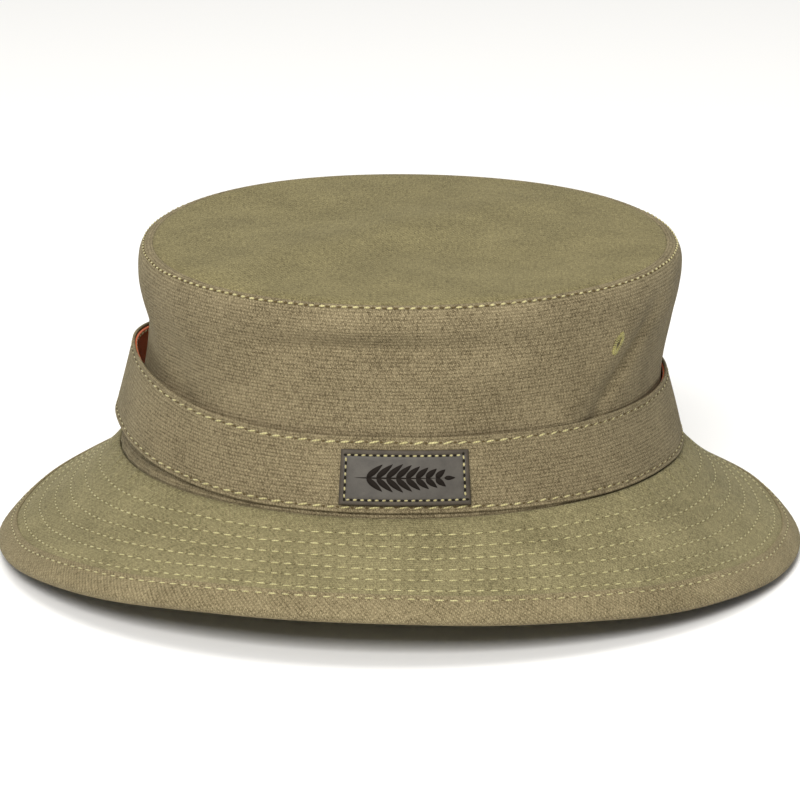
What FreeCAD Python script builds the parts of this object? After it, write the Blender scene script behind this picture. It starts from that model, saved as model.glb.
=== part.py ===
"""Bucket hat of heavy canvas with a separate reversible band, built panel by panel.

Frame: the front of the hat faces -Y, +X is the wearer's left and +Z is up. The origin is the
bottom centre of the hat, on the surface that the brim stands on. Lengths are millimetres and
angles are degrees. A bearing is measured from the front towards the wearer's left.
"""

import FreeCAD, Part
import Sketcher

import math
import os

DOC = FreeCAD.newDocument("bucket_hat")
VECTOR = FreeCAD.Vector
UP = VECTOR(0, 0, 1)
SUB_PARTS = []

# ---------------------------------------------------------------- driving dimensions
SIZES = {
    # crown: half width (side) and half depth (front) of the cloth's outer face at four levels
    "base_side": (89.0, "half width of the crown at the brim seam"),
    "base_front": (97.5, "half depth of the crown at the brim seam"),
    "base_height": (32.6, "height of the brim seam above the standing surface"),
    "waist_side": (82.4, "half width of the crown where the band rests"),
    "waist_front": (92.4, "half depth of the crown where the band rests"),
    "waist_level": (32.0, "height of the waist above the brim seam"),
    "shoulder_side": (86.2, "half width of the crown just below the tip seam"),
    "shoulder_front": (95.0, "half depth of the crown just below the tip seam"),
    "shoulder_level": (57.0, "height of the shoulder above the brim seam"),
    "rim_side": (84.4, "half width of the crown at the tip seam"),
    "rim_front": (93.2, "half depth of the crown at the tip seam"),
    "rim_level": (66.0, "height of the tip seam above the brim seam"),
    "canvas": (1.1, "thickness of one ply of canvas"),
    "ply_gap": (0.06, "clearance between plies that lie on each other"),
    "topstitch_drop": (2.0, "tip seam down to its row of topstitching"),
    # brim
    "brim_width": (48.4, "brim seam to the edge of the plies, along the cloth"),
    "brim_droop": (30.2, "mean slope of the brim below the horizontal"),
    "side_droop": (6.6, "slope added at the sides and taken off at front and back"),
    "corner_droop": (0.35, "slope taken off in line with X and Y"),
    "rear_droop": (3.2, "slope added at the back and taken off at the front"),
    "left_droop": (2.3, "slope added on the wearer's left"),
    "left_wave": (1.0, "wave of the slope between left and right"),
    "root_bend": (4.0, "slope added at the seam and taken off at the flat of the brim"),
    "edge_bend": (24.5, "slope added by the curl of the brim's edge"),
    "curl_start": (34.0, "brim seam to where the edge starts to curl"),
    "brim_ply": (0.85, "thickness of a pressed and quilted brim ply"),
    "stiffener": (0.7, "thickness of the interlining between the brim plies"),
    "row_start": (8.1, "brim seam to the first row of quilting"),
    "row_pitch": (5.9, "spacing of the quilting rows"),
    "binding_reach": (7.5, "width of the edge binding on each face of the brim"),
    "binding_ply": (0.65, "thickness of the edge binding"),
    "binding_inset": (2.0, "binding's fold to its row of stitching"),
    "thread_width": (0.7, "width of a sewn row"),
    "thread_rise": (0.28, "how far a sewn row stands up from the cloth"),
    "thread_gap": (0.03, "clearance under a sewn row"),
    # inside of the crown
    "sweatband_height": (30.0, "height of the sweatband"),
    "sweatband_ply": (0.9, "thickness of the sweatband"),
    "tape_width": (12.0, "width of the tape over the back seam"),
    "tape_ply": (0.5, "thickness of the seam tapes"),
    "rim_tape_width": (5.0, "width of the tape over the tip seam"),
    "size_label_width": (20.0, "width of the blank size label"),
    "size_label_height": (13.0, "height of the blank size label"),
    # band, in a frame of its own whose origin is the middle of its lower edge
    "band_height": (23.6, "height of the band"),
    "band_top_side": (87.2, "half width inside the band's top edge"),
    "band_top_front": (95.8, "half depth inside the band's top edge"),
    "band_foot_side": (89.6, "half width inside the band's lower edge"),
    "band_foot_front": (98.4, "half depth inside the band's lower edge"),
    "band_seat": (4.4, "brim seam up to the middle of the band's lower edge"),
    "band_shift": (0.4, "shift of the band towards the wearer's right"),
    "band_tilt": (1.9, "lean of the band that lifts the wearer's right side"),
    "band_ply": (0.8, "thickness of each of the band's two plies"),
    "hem_inset": (1.7, "band edge to its row of stitching"),
    "bartack_height": (16.0, "height of the bar of stitches that closes the band"),
    # label patch on the front of the band
    "label_width": (40.0, "width of the label patch"),
    "label_height": (17.4, "height of the label patch"),
    "label_ply": (1.2, "thickness of the label patch"),
    "label_rise": (2.3, "band's lower edge up to the label's lower edge"),
    "label_shift": (1.4, "middle of the band to the middle of the label"),
    "label_inset": (1.3, "label edge to its row of stitching"),
    # vents
    "vent_length": (8.4, "outer length of a worked eyelet"),
    "vent_width": (5.0, "outer width of a worked eyelet"),
    "vent_slit_length": (4.6, "length of the opening in an eyelet"),
    "vent_slit_width": (1.4, "width of the opening in an eyelet"),
    "vent_depth": (2.0, "thickness of a worked eyelet"),
    "vent_level": (47.0, "height of the eyelets above the brim seam"),
    "vent_bearing": (52.5, "bearing of the left eyelet"),
    "vent_lean": (26.0, "lean of an eyelet's long axis from the vertical"),
}

SHEET = DOC.addObject("Spreadsheet::Sheet", "sizes")
for row, (alias, (value, meaning)) in enumerate(SIZES.items(), start=1):
    SHEET.set(f"A{row}", alias)
    SHEET.set(f"B{row}", str(value))
    SHEET.set(f"C{row}", meaning)
    SHEET.setAlias(f"B{row}", alias)
DOC.recompute()


def size(alias):
    """Value of a driving dimension."""
    return float(SHEET.get(alias))


def bound(text):
    """Expression in which every driving dimension's name points at its cell."""
    words = text.split()
    return " ".join(f"sizes.{word}" if word in SIZES else word for word in words)


def keep(solid, label):
    """Name a finished sub-part and put it on the list that is written out."""
    solid.Label = label
    SUB_PARTS.append(solid)
    return solid


# ---------------------------------------------------------------- layers that follow an oval surface
CROWN_LEVELS = [
    ("base_side", "base_front", "base_height"),
    ("waist_side", "waist_front", "base_height + waist_level"),
    ("shoulder_side", "shoulder_front", "base_height + shoulder_level"),
    ("rim_side", "rim_front", "base_height + rim_level"),
]
BAND_LEVELS = [
    ("band_foot_side", "band_foot_front", "0"),
    ("band_top_side", "band_top_front", "band_height"),
]


def oval(name, side, front, level):
    """Ellipse of half width `side` and half depth `front` at height `level`, as an object."""
    curve = DOC.addObject("Part::Ellipse", name)
    curve.setExpression("MajorRadius", bound(front))
    curve.setExpression("MinorRadius", bound(side))
    curve.Placement = FreeCAD.Placement(VECTOR(), FreeCAD.Rotation(UP, 90))
    curve.setExpression("Placement.Base.z", bound(level))
    return curve


def oval_loft(name, levels, offset):
    """Solid through the ovals of `levels`, each grown by `offset`."""
    solid = DOC.addObject("Part::Loft", name)
    solid.Sections = [
        oval(f"{name}_oval_{index}", f"{side} + {offset}", f"{front} + {offset}", level)
        for index, (side, front, level) in enumerate(levels)
    ]
    solid.Solid = True
    return solid


def layer(name, levels, inner, outer):
    """Layer of cloth or thread between two offsets from the ovals of `levels`."""
    shell = DOC.addObject("Part::Cut", name)
    shell.Base = oval_loft(f"{name}_outside", levels, outer)
    shell.Tool = oval_loft(f"{name}_inside", levels, inner)
    return shell


def block(name, width, depth, height, x, y, z):
    """Box whose sizes and corner are expressions."""
    box = DOC.addObject("Part::Box", name)
    for prop, text in (("Length", width), ("Width", depth), ("Height", height)):
        box.setExpression(prop, bound(text))
    for axis, text in (("x", x), ("y", y), ("z", z)):
        box.setExpression(f"Placement.Base.{axis}", bound(text))
    return box


def common(name, first, second):
    """What two solids share."""
    shared = DOC.addObject("Part::Common", name)
    shared.Base = first
    shared.Tool = second
    return shared


def all_round(name, source, low, high):
    """The part of a layer between two heights."""
    span = "4 * base_front"
    slab = block(f"{name}_slab", span, span, f"( {high} ) - ( {low} )",
                 "-2 * base_front", "-2 * base_front", low)
    return common(name, source, slab)


def patch(name, source, middle, width, low, high, at_front):
    """The part of a layer inside a rectangle that is seen square on from the front or back."""
    start = "-2 * base_front" if at_front else "0"
    window = block(f"{name}_window", width, "2 * base_front", f"( {high} ) - ( {low} )",
                   f"{middle} - ( {width} ) / 2", start, low)
    return common(name, source, window)


# ---------------------------------------------------------------- PartDesign helpers
def origin_plane(body, role):
    """One of a body's own origin planes."""
    return next(plane for plane in body.Origin.OriginFeatures if plane.Role == role)


def oval_sketch(body, name, side, front, level):
    """Sketch of an ellipse on the body's XY plane, moved up to `level`."""
    sketch = body.newObject("Sketcher::SketchObject", name)
    sketch.AttachmentSupport = [(origin_plane(body, "XY_Plane"), "")]
    sketch.MapMode = "FlatFace"
    sketch.setExpression("AttachmentOffset.Base.z", bound(level))
    start_front = size("base_front")
    start_side = size("base_side")
    curve = sketch.addGeometry(Part.Ellipse(VECTOR(0, start_front, 0), VECTOR(start_side, 0, 0), VECTOR()), False)
    sketch.exposeInternalGeometry(curve)
    major_axis = curve + 1
    minor_axis = curve + 2
    centre_point = 3
    sketch.addConstraint(Sketcher.Constraint("Coincident", curve, centre_point, -1, 1))
    sketch.addConstraint(Sketcher.Constraint("Vertical", major_axis))
    for axis, start, text in ((major_axis, start_front, front), (minor_axis, start_side, side)):
        width = sketch.addConstraint(Sketcher.Constraint("Distance", axis, 2 * start))
        sketch.setExpression(f"Constraints[{width}]", bound(f"2 * ( {text} )"))
    return sketch


def ring_body(name, levels, inner, outer):
    """Body lofted through the ovals of `levels` between two offsets."""
    body = DOC.addObject("PartDesign::Body", name)
    for kind, offset in (("AdditiveLoft", outer), ("SubtractiveLoft", inner)):
        ovals = [
            oval_sketch(body, f"{name}_{kind}_{index}", f"{side} + {offset}", f"{front} + {offset}", level)
            for index, (side, front, level) in enumerate(levels)
        ]
        feature = body.newObject(f"PartDesign::{kind}", f"{name}_{kind}")
        feature.Profile = ovals[0]
        feature.Sections = ovals[1:]
    return body


# ---------------------------------------------------------------- crown
def vent_placement(bearing, level):
    """Frame on the crown's outer face: Z out of the cloth, Y along the eyelet."""
    turn = math.radians(bearing)
    reach = size("canvas")
    side = (size("waist_side") + size("shoulder_side")) / 2 - reach
    front = (size("waist_front") + size("shoulder_front")) / 2 - reach
    # the oval's parameter whose outward normal has this bearing
    angle = math.atan2(side * math.sin(turn), front * math.cos(turn))
    place = VECTOR(side * math.sin(angle), -front * math.cos(angle), level)
    face_out = FreeCAD.Rotation(VECTOR(0, 0, 1), bearing) * FreeCAD.Rotation(VECTOR(1, 0, 0), 90)
    lean = FreeCAD.Rotation(VECTOR(0, 0, 1), -size("vent_lean"))
    return FreeCAD.Placement(place, face_out * lean)


VENTS = {"vent_eyelet_left": 0, "vent_eyelet_right": 180}


def vent_position(turn):
    """Placement of an eyelet; `turn` is added to the bearing of the left one."""
    return vent_placement(size("vent_bearing") + turn, size("base_height") + size("vent_level"))


def eyelet(label, turn):
    """Worked eyelet: an oval of dense stitches round a slit, let into the crown."""
    body = DOC.addObject("PartDesign::Body", label)
    rim = oval_sketch(body, f"{label}_rim", "vent_width / 2", "vent_length / 2", "0")
    pad = body.newObject("PartDesign::Pad", f"{label}_pad")
    pad.Profile = rim
    pad.setExpression("Length", bound("vent_depth"))
    slit = oval_sketch(body, f"{label}_slit", "vent_slit_width / 2", "vent_slit_length / 2", "0")
    pocket = body.newObject("PartDesign::Pocket", f"{label}_pocket")
    pocket.Profile = slit
    pocket.Type = "ThroughAll"
    pocket.Reversed = True
    body.Placement = vent_position(turn)
    keep(body, label)


def eyelet_hole(label, turn):
    """Tool that cuts an eyelet's seat in the crown."""
    outline = oval(f"{label}_seat_oval", "vent_width / 2 + ply_gap", "vent_length / 2 + ply_gap", "0")
    tool = DOC.addObject("Part::Extrusion", f"{label}_seat")
    tool.Base = outline
    tool.DirMode = "Custom"
    tool.Dir = UP
    tool.setExpression("LengthFwd", bound("4 * vent_depth"))
    tool.setExpression("LengthRev", bound("4 * vent_depth"))
    tool.Solid = True
    tool.Placement = vent_position(turn)
    return tool


def crown():
    """Side wall with its two eyelet seats, the flat tip, and the stitching that shows."""
    seats = DOC.addObject("Part::MultiFuse", "eyelet_seats")
    seats.Shapes = [eyelet_hole(label, turn) for label, turn in VENTS.items()]
    wall = DOC.addObject("Part::Cut", "crown_wall")
    wall.Base = layer("crown_cloth", CROWN_LEVELS, "-1 * canvas", "0")
    wall.Tool = seats
    keep(wall, "crown_wall")

    tip = DOC.addObject("PartDesign::Body", "crown_tip")
    outline = oval_sketch(tip, "tip_outline", "rim_side - canvas - ply_gap", "rim_front - canvas - ply_gap",
                          "base_height + rim_level - canvas")
    pad = tip.newObject("PartDesign::Pad", "tip_pad")
    pad.Profile = outline
    pad.setExpression("Length", bound("canvas"))
    keep(tip, "crown_tip")

    thread = layer("crown_thread", CROWN_LEVELS, "thread_gap", "thread_gap + thread_rise")
    row_top = "base_height + rim_level - topstitch_drop + thread_width / 2"
    keep(all_round("crown_topstitching", thread, f"{row_top} - thread_width", row_top), "crown_topstitching")
    keep(patch("crown_back_stitching", thread, "0", "thread_width", "base_height + topstitch_drop",
               "base_height + rim_level - 2 * topstitch_drop", at_front=False), "crown_back_stitching")


def crown_inside():
    """Sweatband, seam tapes and the blank size label, each on the cloth that it is sewn to."""
    tape_face = "-1 * canvas - ply_gap"
    tape = layer("tape_layer", CROWN_LEVELS, f"{tape_face} - tape_ply", tape_face)
    under_tip = "base_height + rim_level - canvas - 2 * ply_gap"
    keep(all_round("tip_seam_tape", tape, f"{under_tip} - rim_tape_width", under_tip), "tip_seam_tape")
    keep(patch("back_seam_tape", tape, "0", "tape_width", "base_height + sweatband_height + 1",
               f"{under_tip} - rim_tape_width - ply_gap", at_front=False), "back_seam_tape")

    sweat_face = f"{tape_face} - sweatband_ply"
    band = layer("sweatband_layer", CROWN_LEVELS, sweat_face, tape_face)
    sweat_top = "base_height + sweatband_height"
    keep(all_round("sweatband", band, "base_height", sweat_top), "sweatband")
    thread = layer("sweatband_thread", CROWN_LEVELS, f"{sweat_face} - thread_gap - thread_rise",
                   f"{sweat_face} - thread_gap")
    keep(all_round("sweatband_stitching", thread, f"{sweat_top} - hem_inset - thread_width",
                   f"{sweat_top} - hem_inset"), "sweatband_stitching")
    label = layer("size_label_layer", CROWN_LEVELS, f"{sweat_face} - ply_gap - tape_ply",
                  f"{sweat_face} - ply_gap")
    label_foot = "base_height + hem_inset"
    keep(patch("size_label", label, "0", "size_label_width", label_foot,
               f"{label_foot} + size_label_height", at_front=False), "size_label")


# ---------------------------------------------------------------- brim
BRIM_SECTIONS = 36
SECTION_STEP = 2.0
PLIES_HALF = size("stiffener") / 2 + size("ply_gap") + size("brim_ply")


def smooth_step(share):
    """Rise from 0 to 1 with level ends."""
    held = min(max(share, 0.0), 1.0)
    return held * held * (3 - 2 * held)


def brim_slope(bearing, width):
    """Slope below the horizontal, in degrees, at a bearing (radians) and a distance from the seam."""
    around = size("brim_droop") - size("side_droop") * math.cos(2 * bearing)
    around -= size("corner_droop") * math.cos(4 * bearing)
    around -= size("rear_droop") * math.cos(bearing)
    around += size("left_droop") * math.sin(bearing) + size("left_wave") * math.sin(3 * bearing)
    start = size("curl_start")
    if width < start:
        return around + size("root_bend") * (1 - 2 * width / start)
    curl = smooth_step((width - start) / (size("brim_width") - start))
    return around - size("root_bend") + size("edge_bend") * curl


def brim_point(bearing, width, rise):
    """Point `width` along the brim from its seam, and `rise` out of the cloth's middle face."""
    steps = max(1, round(width))
    stride = width / steps
    reach = 0.0
    drop = 0.0
    for step in range(steps):
        slope = math.radians(brim_slope(bearing, (step + 0.5) * stride))
        reach += math.cos(slope) * stride
        drop += math.sin(slope) * stride
    slope = math.radians(brim_slope(bearing, width))
    reach += math.sin(slope) * rise
    drop -= math.cos(slope) * rise
    side = size("base_side")
    front = size("base_front")
    outward = VECTOR(math.sin(bearing) / side, -math.cos(bearing) / front, 0).normalize()
    seam = VECTOR(side * math.sin(bearing), -front * math.cos(bearing), size("base_height"))
    return seam + outward * reach - UP * drop


def spline(points):
    """Smooth edge through points."""
    curve = Part.BSplineCurve()
    curve.interpolate(points)
    return curve.toShape()


def widths_between(start, end):
    """Evenly spaced distances from the seam, with both ends."""
    count = max(1, round(abs(end - start) / SECTION_STEP))
    return [start + (end - start) * index / count for index in range(count + 1)]


def brim_face(bearing, start, end, rise):
    """Edge that runs along the brim at a constant rise."""
    return spline([brim_point(bearing, width, rise) for width in widths_between(start, end)])


def closed_wire(runs):
    """Wire of edges joined end to end by straight lines."""
    edges = []
    for run, following in zip(runs, runs[1:] + runs[:1]):
        edges.append(run)
        end = run.valueAt(run.LastParameter)
        start = following.valueAt(following.FirstParameter)
        if end.distanceToPoint(start) > 1e-6:
            edges.append(Part.LineSegment(end, start).toShape())
    return Part.Wire(edges)


def strip_section(bearing, start, end, low, high):
    """Section of a flat layer of the brim."""
    top = brim_face(bearing, start, end, high)
    bottom = brim_face(bearing, end, start, low)
    return closed_wire([top, bottom])


def binding_section(bearing):
    """Section of the binding, which wraps the brim's edge."""
    inner = PLIES_HALF + size("ply_gap")
    outer = inner + size("binding_ply")
    edge = size("brim_width")
    start = edge - size("binding_reach")
    return closed_wire([
        brim_face(bearing, start, edge, outer),
        spline([brim_point(bearing, edge, outer), brim_point(bearing, edge + outer * 0.62, 0),
                brim_point(bearing, edge, -outer)]),
        brim_face(bearing, edge, start, -outer),
        brim_face(bearing, start, edge, -inner),
        spline([brim_point(bearing, edge, -inner), brim_point(bearing, edge + inner * 0.45, 0),
                brim_point(bearing, edge, inner)]),
        brim_face(bearing, edge, start, inner),
    ])


def brim_ring(section):
    """Closed loft of a section round the whole brim."""
    bearings = [2 * math.pi * index / BRIM_SECTIONS for index in range(BRIM_SECTIONS)]
    return Part.makeLoft([section(bearing) for bearing in bearings], True, False, True)


def brim_feature(label, shape):
    """Brim sub-part whose shape is set from Part's own functions."""
    feature = DOC.addObject("Part::Feature", label)
    feature.Shape = shape
    feature.Placement = FreeCAD.Placement()
    keep(feature, label)


def sewn_row(width, half_stack):
    """Needle thread on top of the brim and bobbin thread below it, at one distance from the seam."""
    start = width - size("thread_width") / 2
    end = width + size("thread_width") / 2
    near = half_stack + size("thread_gap")
    far = near + size("thread_rise")
    rings = [
        brim_ring(lambda bearing: strip_section(bearing, start, end, near, far)),
        brim_ring(lambda bearing: strip_section(bearing, start, end, -far, -near)),
    ]
    return Part.makeCompound(rings)


def brim():
    """Two quilted plies with an interlining between them, the edge binding and every sewn row."""
    half = size("stiffener") / 2
    gap = size("ply_gap")
    end = size("brim_width")
    root = 3 * gap
    layers = {
        "brim_top_panel": (half + gap, PLIES_HALF),
        "brim_stiffener": (-half, half),
        "brim_under_panel": (-PLIES_HALF, -half - gap),
    }
    for label, (low, high) in layers.items():
        brim_feature(label, brim_ring(lambda bearing: strip_section(bearing, root, end, low, high)))
    brim_feature("brim_edge_binding", brim_ring(binding_section))
    for index in range(6):
        width = size("row_start") + index * size("row_pitch")
        brim_feature(f"brim_stitch_row_{index + 1}", sewn_row(width, PLIES_HALF))
    bound_half = PLIES_HALF + gap + size("binding_ply")
    binding_row = end - size("binding_reach") + size("binding_inset")
    brim_feature("binding_stitching", sewn_row(binding_row, bound_half))


# ---------------------------------------------------------------- band
def band_placement():
    """Where the band sits on the crown, with its lean."""
    return FreeCAD.Placement(
        VECTOR(-size("band_shift"), 0, size("base_height") + size("band_seat")),
        FreeCAD.Rotation(VECTOR(0, 1, 0), size("band_tilt")),
    )


def keep_on_band(solid, label):
    """Name a sub-part of the band and seat it on the crown."""
    solid.Placement = band_placement()
    keep(solid, label)


def band():
    """Two-ply band with its hems, closing bar of stitches and sewn label patch."""
    outer_face = "2 * band_ply + ply_gap"
    keep_on_band(ring_body("band_lining", BAND_LEVELS, "0", "band_ply"), "band_lining")
    keep_on_band(ring_body("band_outer", BAND_LEVELS, "band_ply + ply_gap", outer_face), "band_outer")

    thread = layer("band_thread", BAND_LEVELS, f"{outer_face} + thread_gap",
                   f"{outer_face} + thread_gap + thread_rise")
    rows = {"band_bottom_stitching": "hem_inset", "band_top_stitching": "band_height - hem_inset"}
    for label, level in rows.items():
        row = all_round(label, thread, f"{level} - thread_width / 2", f"{level} + thread_width / 2")
        keep_on_band(row, label)
    bar_foot = "( band_height - bartack_height ) / 2"
    keep_on_band(patch("band_seam_bartack", thread, "0", "2 * thread_width", bar_foot,
                       f"{bar_foot} + bartack_height", at_front=False), "band_seam_bartack")


def label_patch():
    """Plain patch on the front of the band, and its sewn border."""
    under = "2 * band_ply + 2 * ply_gap + thread_rise"
    face = f"{under} + label_ply"
    leather = layer("label_layer", BAND_LEVELS, under, face)
    keep_on_band(patch("band_label", leather, "label_shift", "label_width", "label_rise",
                       "label_rise + label_height", at_front=True), "band_label")
    thread = layer("label_thread", BAND_LEVELS, f"{face} + thread_gap", f"{face} + thread_gap + thread_rise")
    rim = patch("label_row_outside", thread, "label_shift", "label_width - 2 * label_inset",
                "label_rise + label_inset", "label_rise + label_height - label_inset", at_front=True)
    inside_inset = "label_inset + thread_width"
    window = block("label_row_window", f"label_width - 2 * ( {inside_inset} )", "2 * base_front",
                   f"label_height - 2 * ( {inside_inset} )",
                   f"label_shift - label_width / 2 + {inside_inset}", "-2 * base_front",
                   f"label_rise + {inside_inset}")
    border = DOC.addObject("Part::Cut", "label_border")
    border.Base = rim
    border.Tool = window
    keep_on_band(border, "band_label_stitching")


# ---------------------------------------------------------------- build, check and write
crown()
for eyelet_label, eyelet_turn in VENTS.items():
    eyelet(eyelet_label, eyelet_turn)
crown_inside()
brim()
band()
label_patch()
DOC.recompute()

for item in DOC.Objects:
    if "Invalid" in item.State or "Error" in item.State:
        raise RuntimeError(f"{item.Label} did not build: {item.State}")

os.makedirs("parts", exist_ok=True)
for item in SUB_PARTS:
    shape = item.Shape
    if shape.isNull() or not shape.isValid() or shape.Volume <= 0:
        raise RuntimeError(f"{item.Label} has no sound solid")
    shape.exportStep(f"parts/{item.Label}.step")
    box = shape.optimalBoundingBox()
    print(f"{item.Label:24s} {len(shape.Solids)} solid  volume {shape.Volume:10.1f}  "
          f"x {box.XMin:7.1f} {box.XMax:6.1f}  y {box.YMin:7.1f} {box.YMax:6.1f}  z {box.ZMin:6.2f} {box.ZMax:6.2f}")
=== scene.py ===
"""Bucket hat of heavy khaki canvas with a loose reversible band, in a studio.

The hat faces -Y, +X is the wearer's left and +Z is up. Lengths are metres. Every cloth piece starts
as a ring or grid primitive, is laid on one of three soft surfaces (crown, brim and band) and gets the
relief that its seams, stitches and handling leave in it.
"""

import logging
import math
from dataclasses import dataclass, field
from enum import Enum
from typing import Callable, Optional, Sequence

import bpy
import numpy as np
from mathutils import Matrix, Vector

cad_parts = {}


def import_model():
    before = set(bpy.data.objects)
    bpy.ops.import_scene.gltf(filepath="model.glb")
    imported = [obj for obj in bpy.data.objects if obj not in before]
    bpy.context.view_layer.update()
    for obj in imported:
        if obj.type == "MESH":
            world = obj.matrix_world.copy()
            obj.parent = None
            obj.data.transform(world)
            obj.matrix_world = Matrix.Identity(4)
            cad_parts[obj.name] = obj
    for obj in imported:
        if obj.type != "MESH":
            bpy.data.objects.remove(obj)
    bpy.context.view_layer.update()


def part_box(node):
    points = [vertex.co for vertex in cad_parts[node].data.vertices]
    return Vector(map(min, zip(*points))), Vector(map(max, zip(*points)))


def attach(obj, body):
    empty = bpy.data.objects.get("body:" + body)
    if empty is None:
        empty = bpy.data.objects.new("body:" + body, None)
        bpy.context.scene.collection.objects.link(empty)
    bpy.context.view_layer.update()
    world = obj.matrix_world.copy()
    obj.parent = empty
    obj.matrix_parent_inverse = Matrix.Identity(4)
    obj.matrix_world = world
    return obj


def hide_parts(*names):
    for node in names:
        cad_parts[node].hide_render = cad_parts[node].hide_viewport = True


LOG = logging.getLogger("bucket_hat")
MM = 0.001
TURN = 2 * math.pi
Array = np.ndarray
Relief = Callable[[Array, Array], Array]


# ---------------------------------------------------------------- shapes of curves and bumps
def smooth_step(share: Array) -> Array:
    """Rise from 0 to 1 with level ends."""
    held = np.clip(share, 0.0, 1.0)
    return held * held * (3 - 2 * held)


def through(at: Array, knots: Sequence[float], values: Sequence[float]) -> Array:
    """Smooth curve through a few points.

    Args:
        at: Where the curve is read.
        knots: Rising positions of the points.
        values: The curve's value at each of them.

    Returns:
        The curve's values, held level past both ends.
    """
    spots = np.asarray(knots, float)
    heights = np.asarray(values, float)
    slopes = np.gradient(heights, spots)
    inside = np.clip(at, spots[0], spots[-1])
    index = np.clip(np.searchsorted(spots, inside, side="right") - 1, 0, len(spots) - 2)
    span = spots[index + 1] - spots[index]
    share = (inside - spots[index]) / span
    start = heights[index] * (1 + 2 * share) * (1 - share) ** 2
    end = heights[index + 1] * share**2 * (3 - 2 * share)
    leave = slopes[index] * share * (1 - share) ** 2
    arrive = slopes[index + 1] * share**2 * (share - 1)
    return start + end + span * (leave + arrive)


def wrapped(angle: Array) -> Array:
    """Angle brought between half a turn back and half a turn forward."""
    return (angle + math.pi) % TURN - math.pi


def bell(off: Array, breadth: float) -> Array:
    """Smooth hump of height 1 and the given breadth."""
    return np.exp(-((off / breadth) ** 2))


def paired(bearing: Array, along: Array) -> list[Array]:
    """Bearings and distances as numbers in arrays of one shape."""
    return np.broadcast_arrays(np.asarray(bearing, float), np.asarray(along, float))


def walk(path: Array) -> Array:
    """Distance walked along a path up to each of its points."""
    return np.concatenate([[0], np.cumsum(np.linalg.norm(np.diff(path, axis=0), axis=1))])


def girth_of(side: float, front: float) -> float:
    """Length round an oval with these half widths."""
    return math.pi * (side + front)


@dataclass(frozen=True)
class Handling:
    """Uneven waves that handling leaves in cloth, the same at both ends of a ring."""

    seed: int
    height: float
    waves_round: float
    waves_across: float
    terms: int = 14

    def rise(self, bearing: Array, along: Array, depth: float) -> Array:
        """Height of the waves at bearings and distances across a strip of this depth."""
        random = np.random.default_rng(self.seed)
        total = np.zeros(np.broadcast(bearing, along).shape)
        for _ in range(self.terms):
            turns = int(random.integers(1, max(2, int(2 * self.waves_round))))
            across = random.uniform(-self.waves_across, self.waves_across) * TURN
            phase = random.uniform(0, TURN)
            total = total + np.sin(turns * bearing + across * along / depth + phase)
        return self.height * total / math.sqrt(self.terms)


@dataclass(frozen=True)
class Dent:
    """One soft dent in a wall; a negative depth makes a ridge."""

    bearing: float
    level: float
    length: float
    breadth: float
    depth: float
    lean: float = 0.0

    def rise(self, bearing: Array, level: Array, radius: float) -> Array:
        """Outward move of the wall near the dent."""
        aside = wrapped(bearing - math.radians(self.bearing)) * radius
        above = level - self.level
        turn = math.radians(self.lean)
        run = aside * math.cos(turn) + above * math.sin(turn)
        off = above * math.cos(turn) - aside * math.sin(turn)
        return -self.depth * np.exp(-((run / self.length) ** 2) - (off / self.breadth) ** 2)


# ---------------------------------------------------------------- the three surfaces
class SoftSurface:
    """A cloth face that every ply, tape and thread on it is laid against."""

    def middle(self, bearing: Array, along: Array) -> Array:
        """Points of the face at angles from the front and distances across the cloth."""
        raise NotImplementedError

    def normal(self, bearing: Array, along: Array) -> Array:
        """Outward direction of the face at each point."""
        turn = 0.002
        step = 0.15 * MM
        round_it = self.middle(bearing + turn, along) - self.middle(bearing - turn, along)
        across = self.middle(bearing, along + step) - self.middle(bearing, along - step)
        out = np.cross(round_it, across)
        return out / np.linalg.norm(out, axis=-1, keepdims=True)

    def place(self, bearing: Array, along: Array, rise: Array) -> Array:
        """Points at a height above the face."""
        bearing, along, rise = np.broadcast_arrays(bearing, along, rise)
        return self.middle(bearing, along) + rise[..., None] * self.normal(bearing, along)


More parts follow.
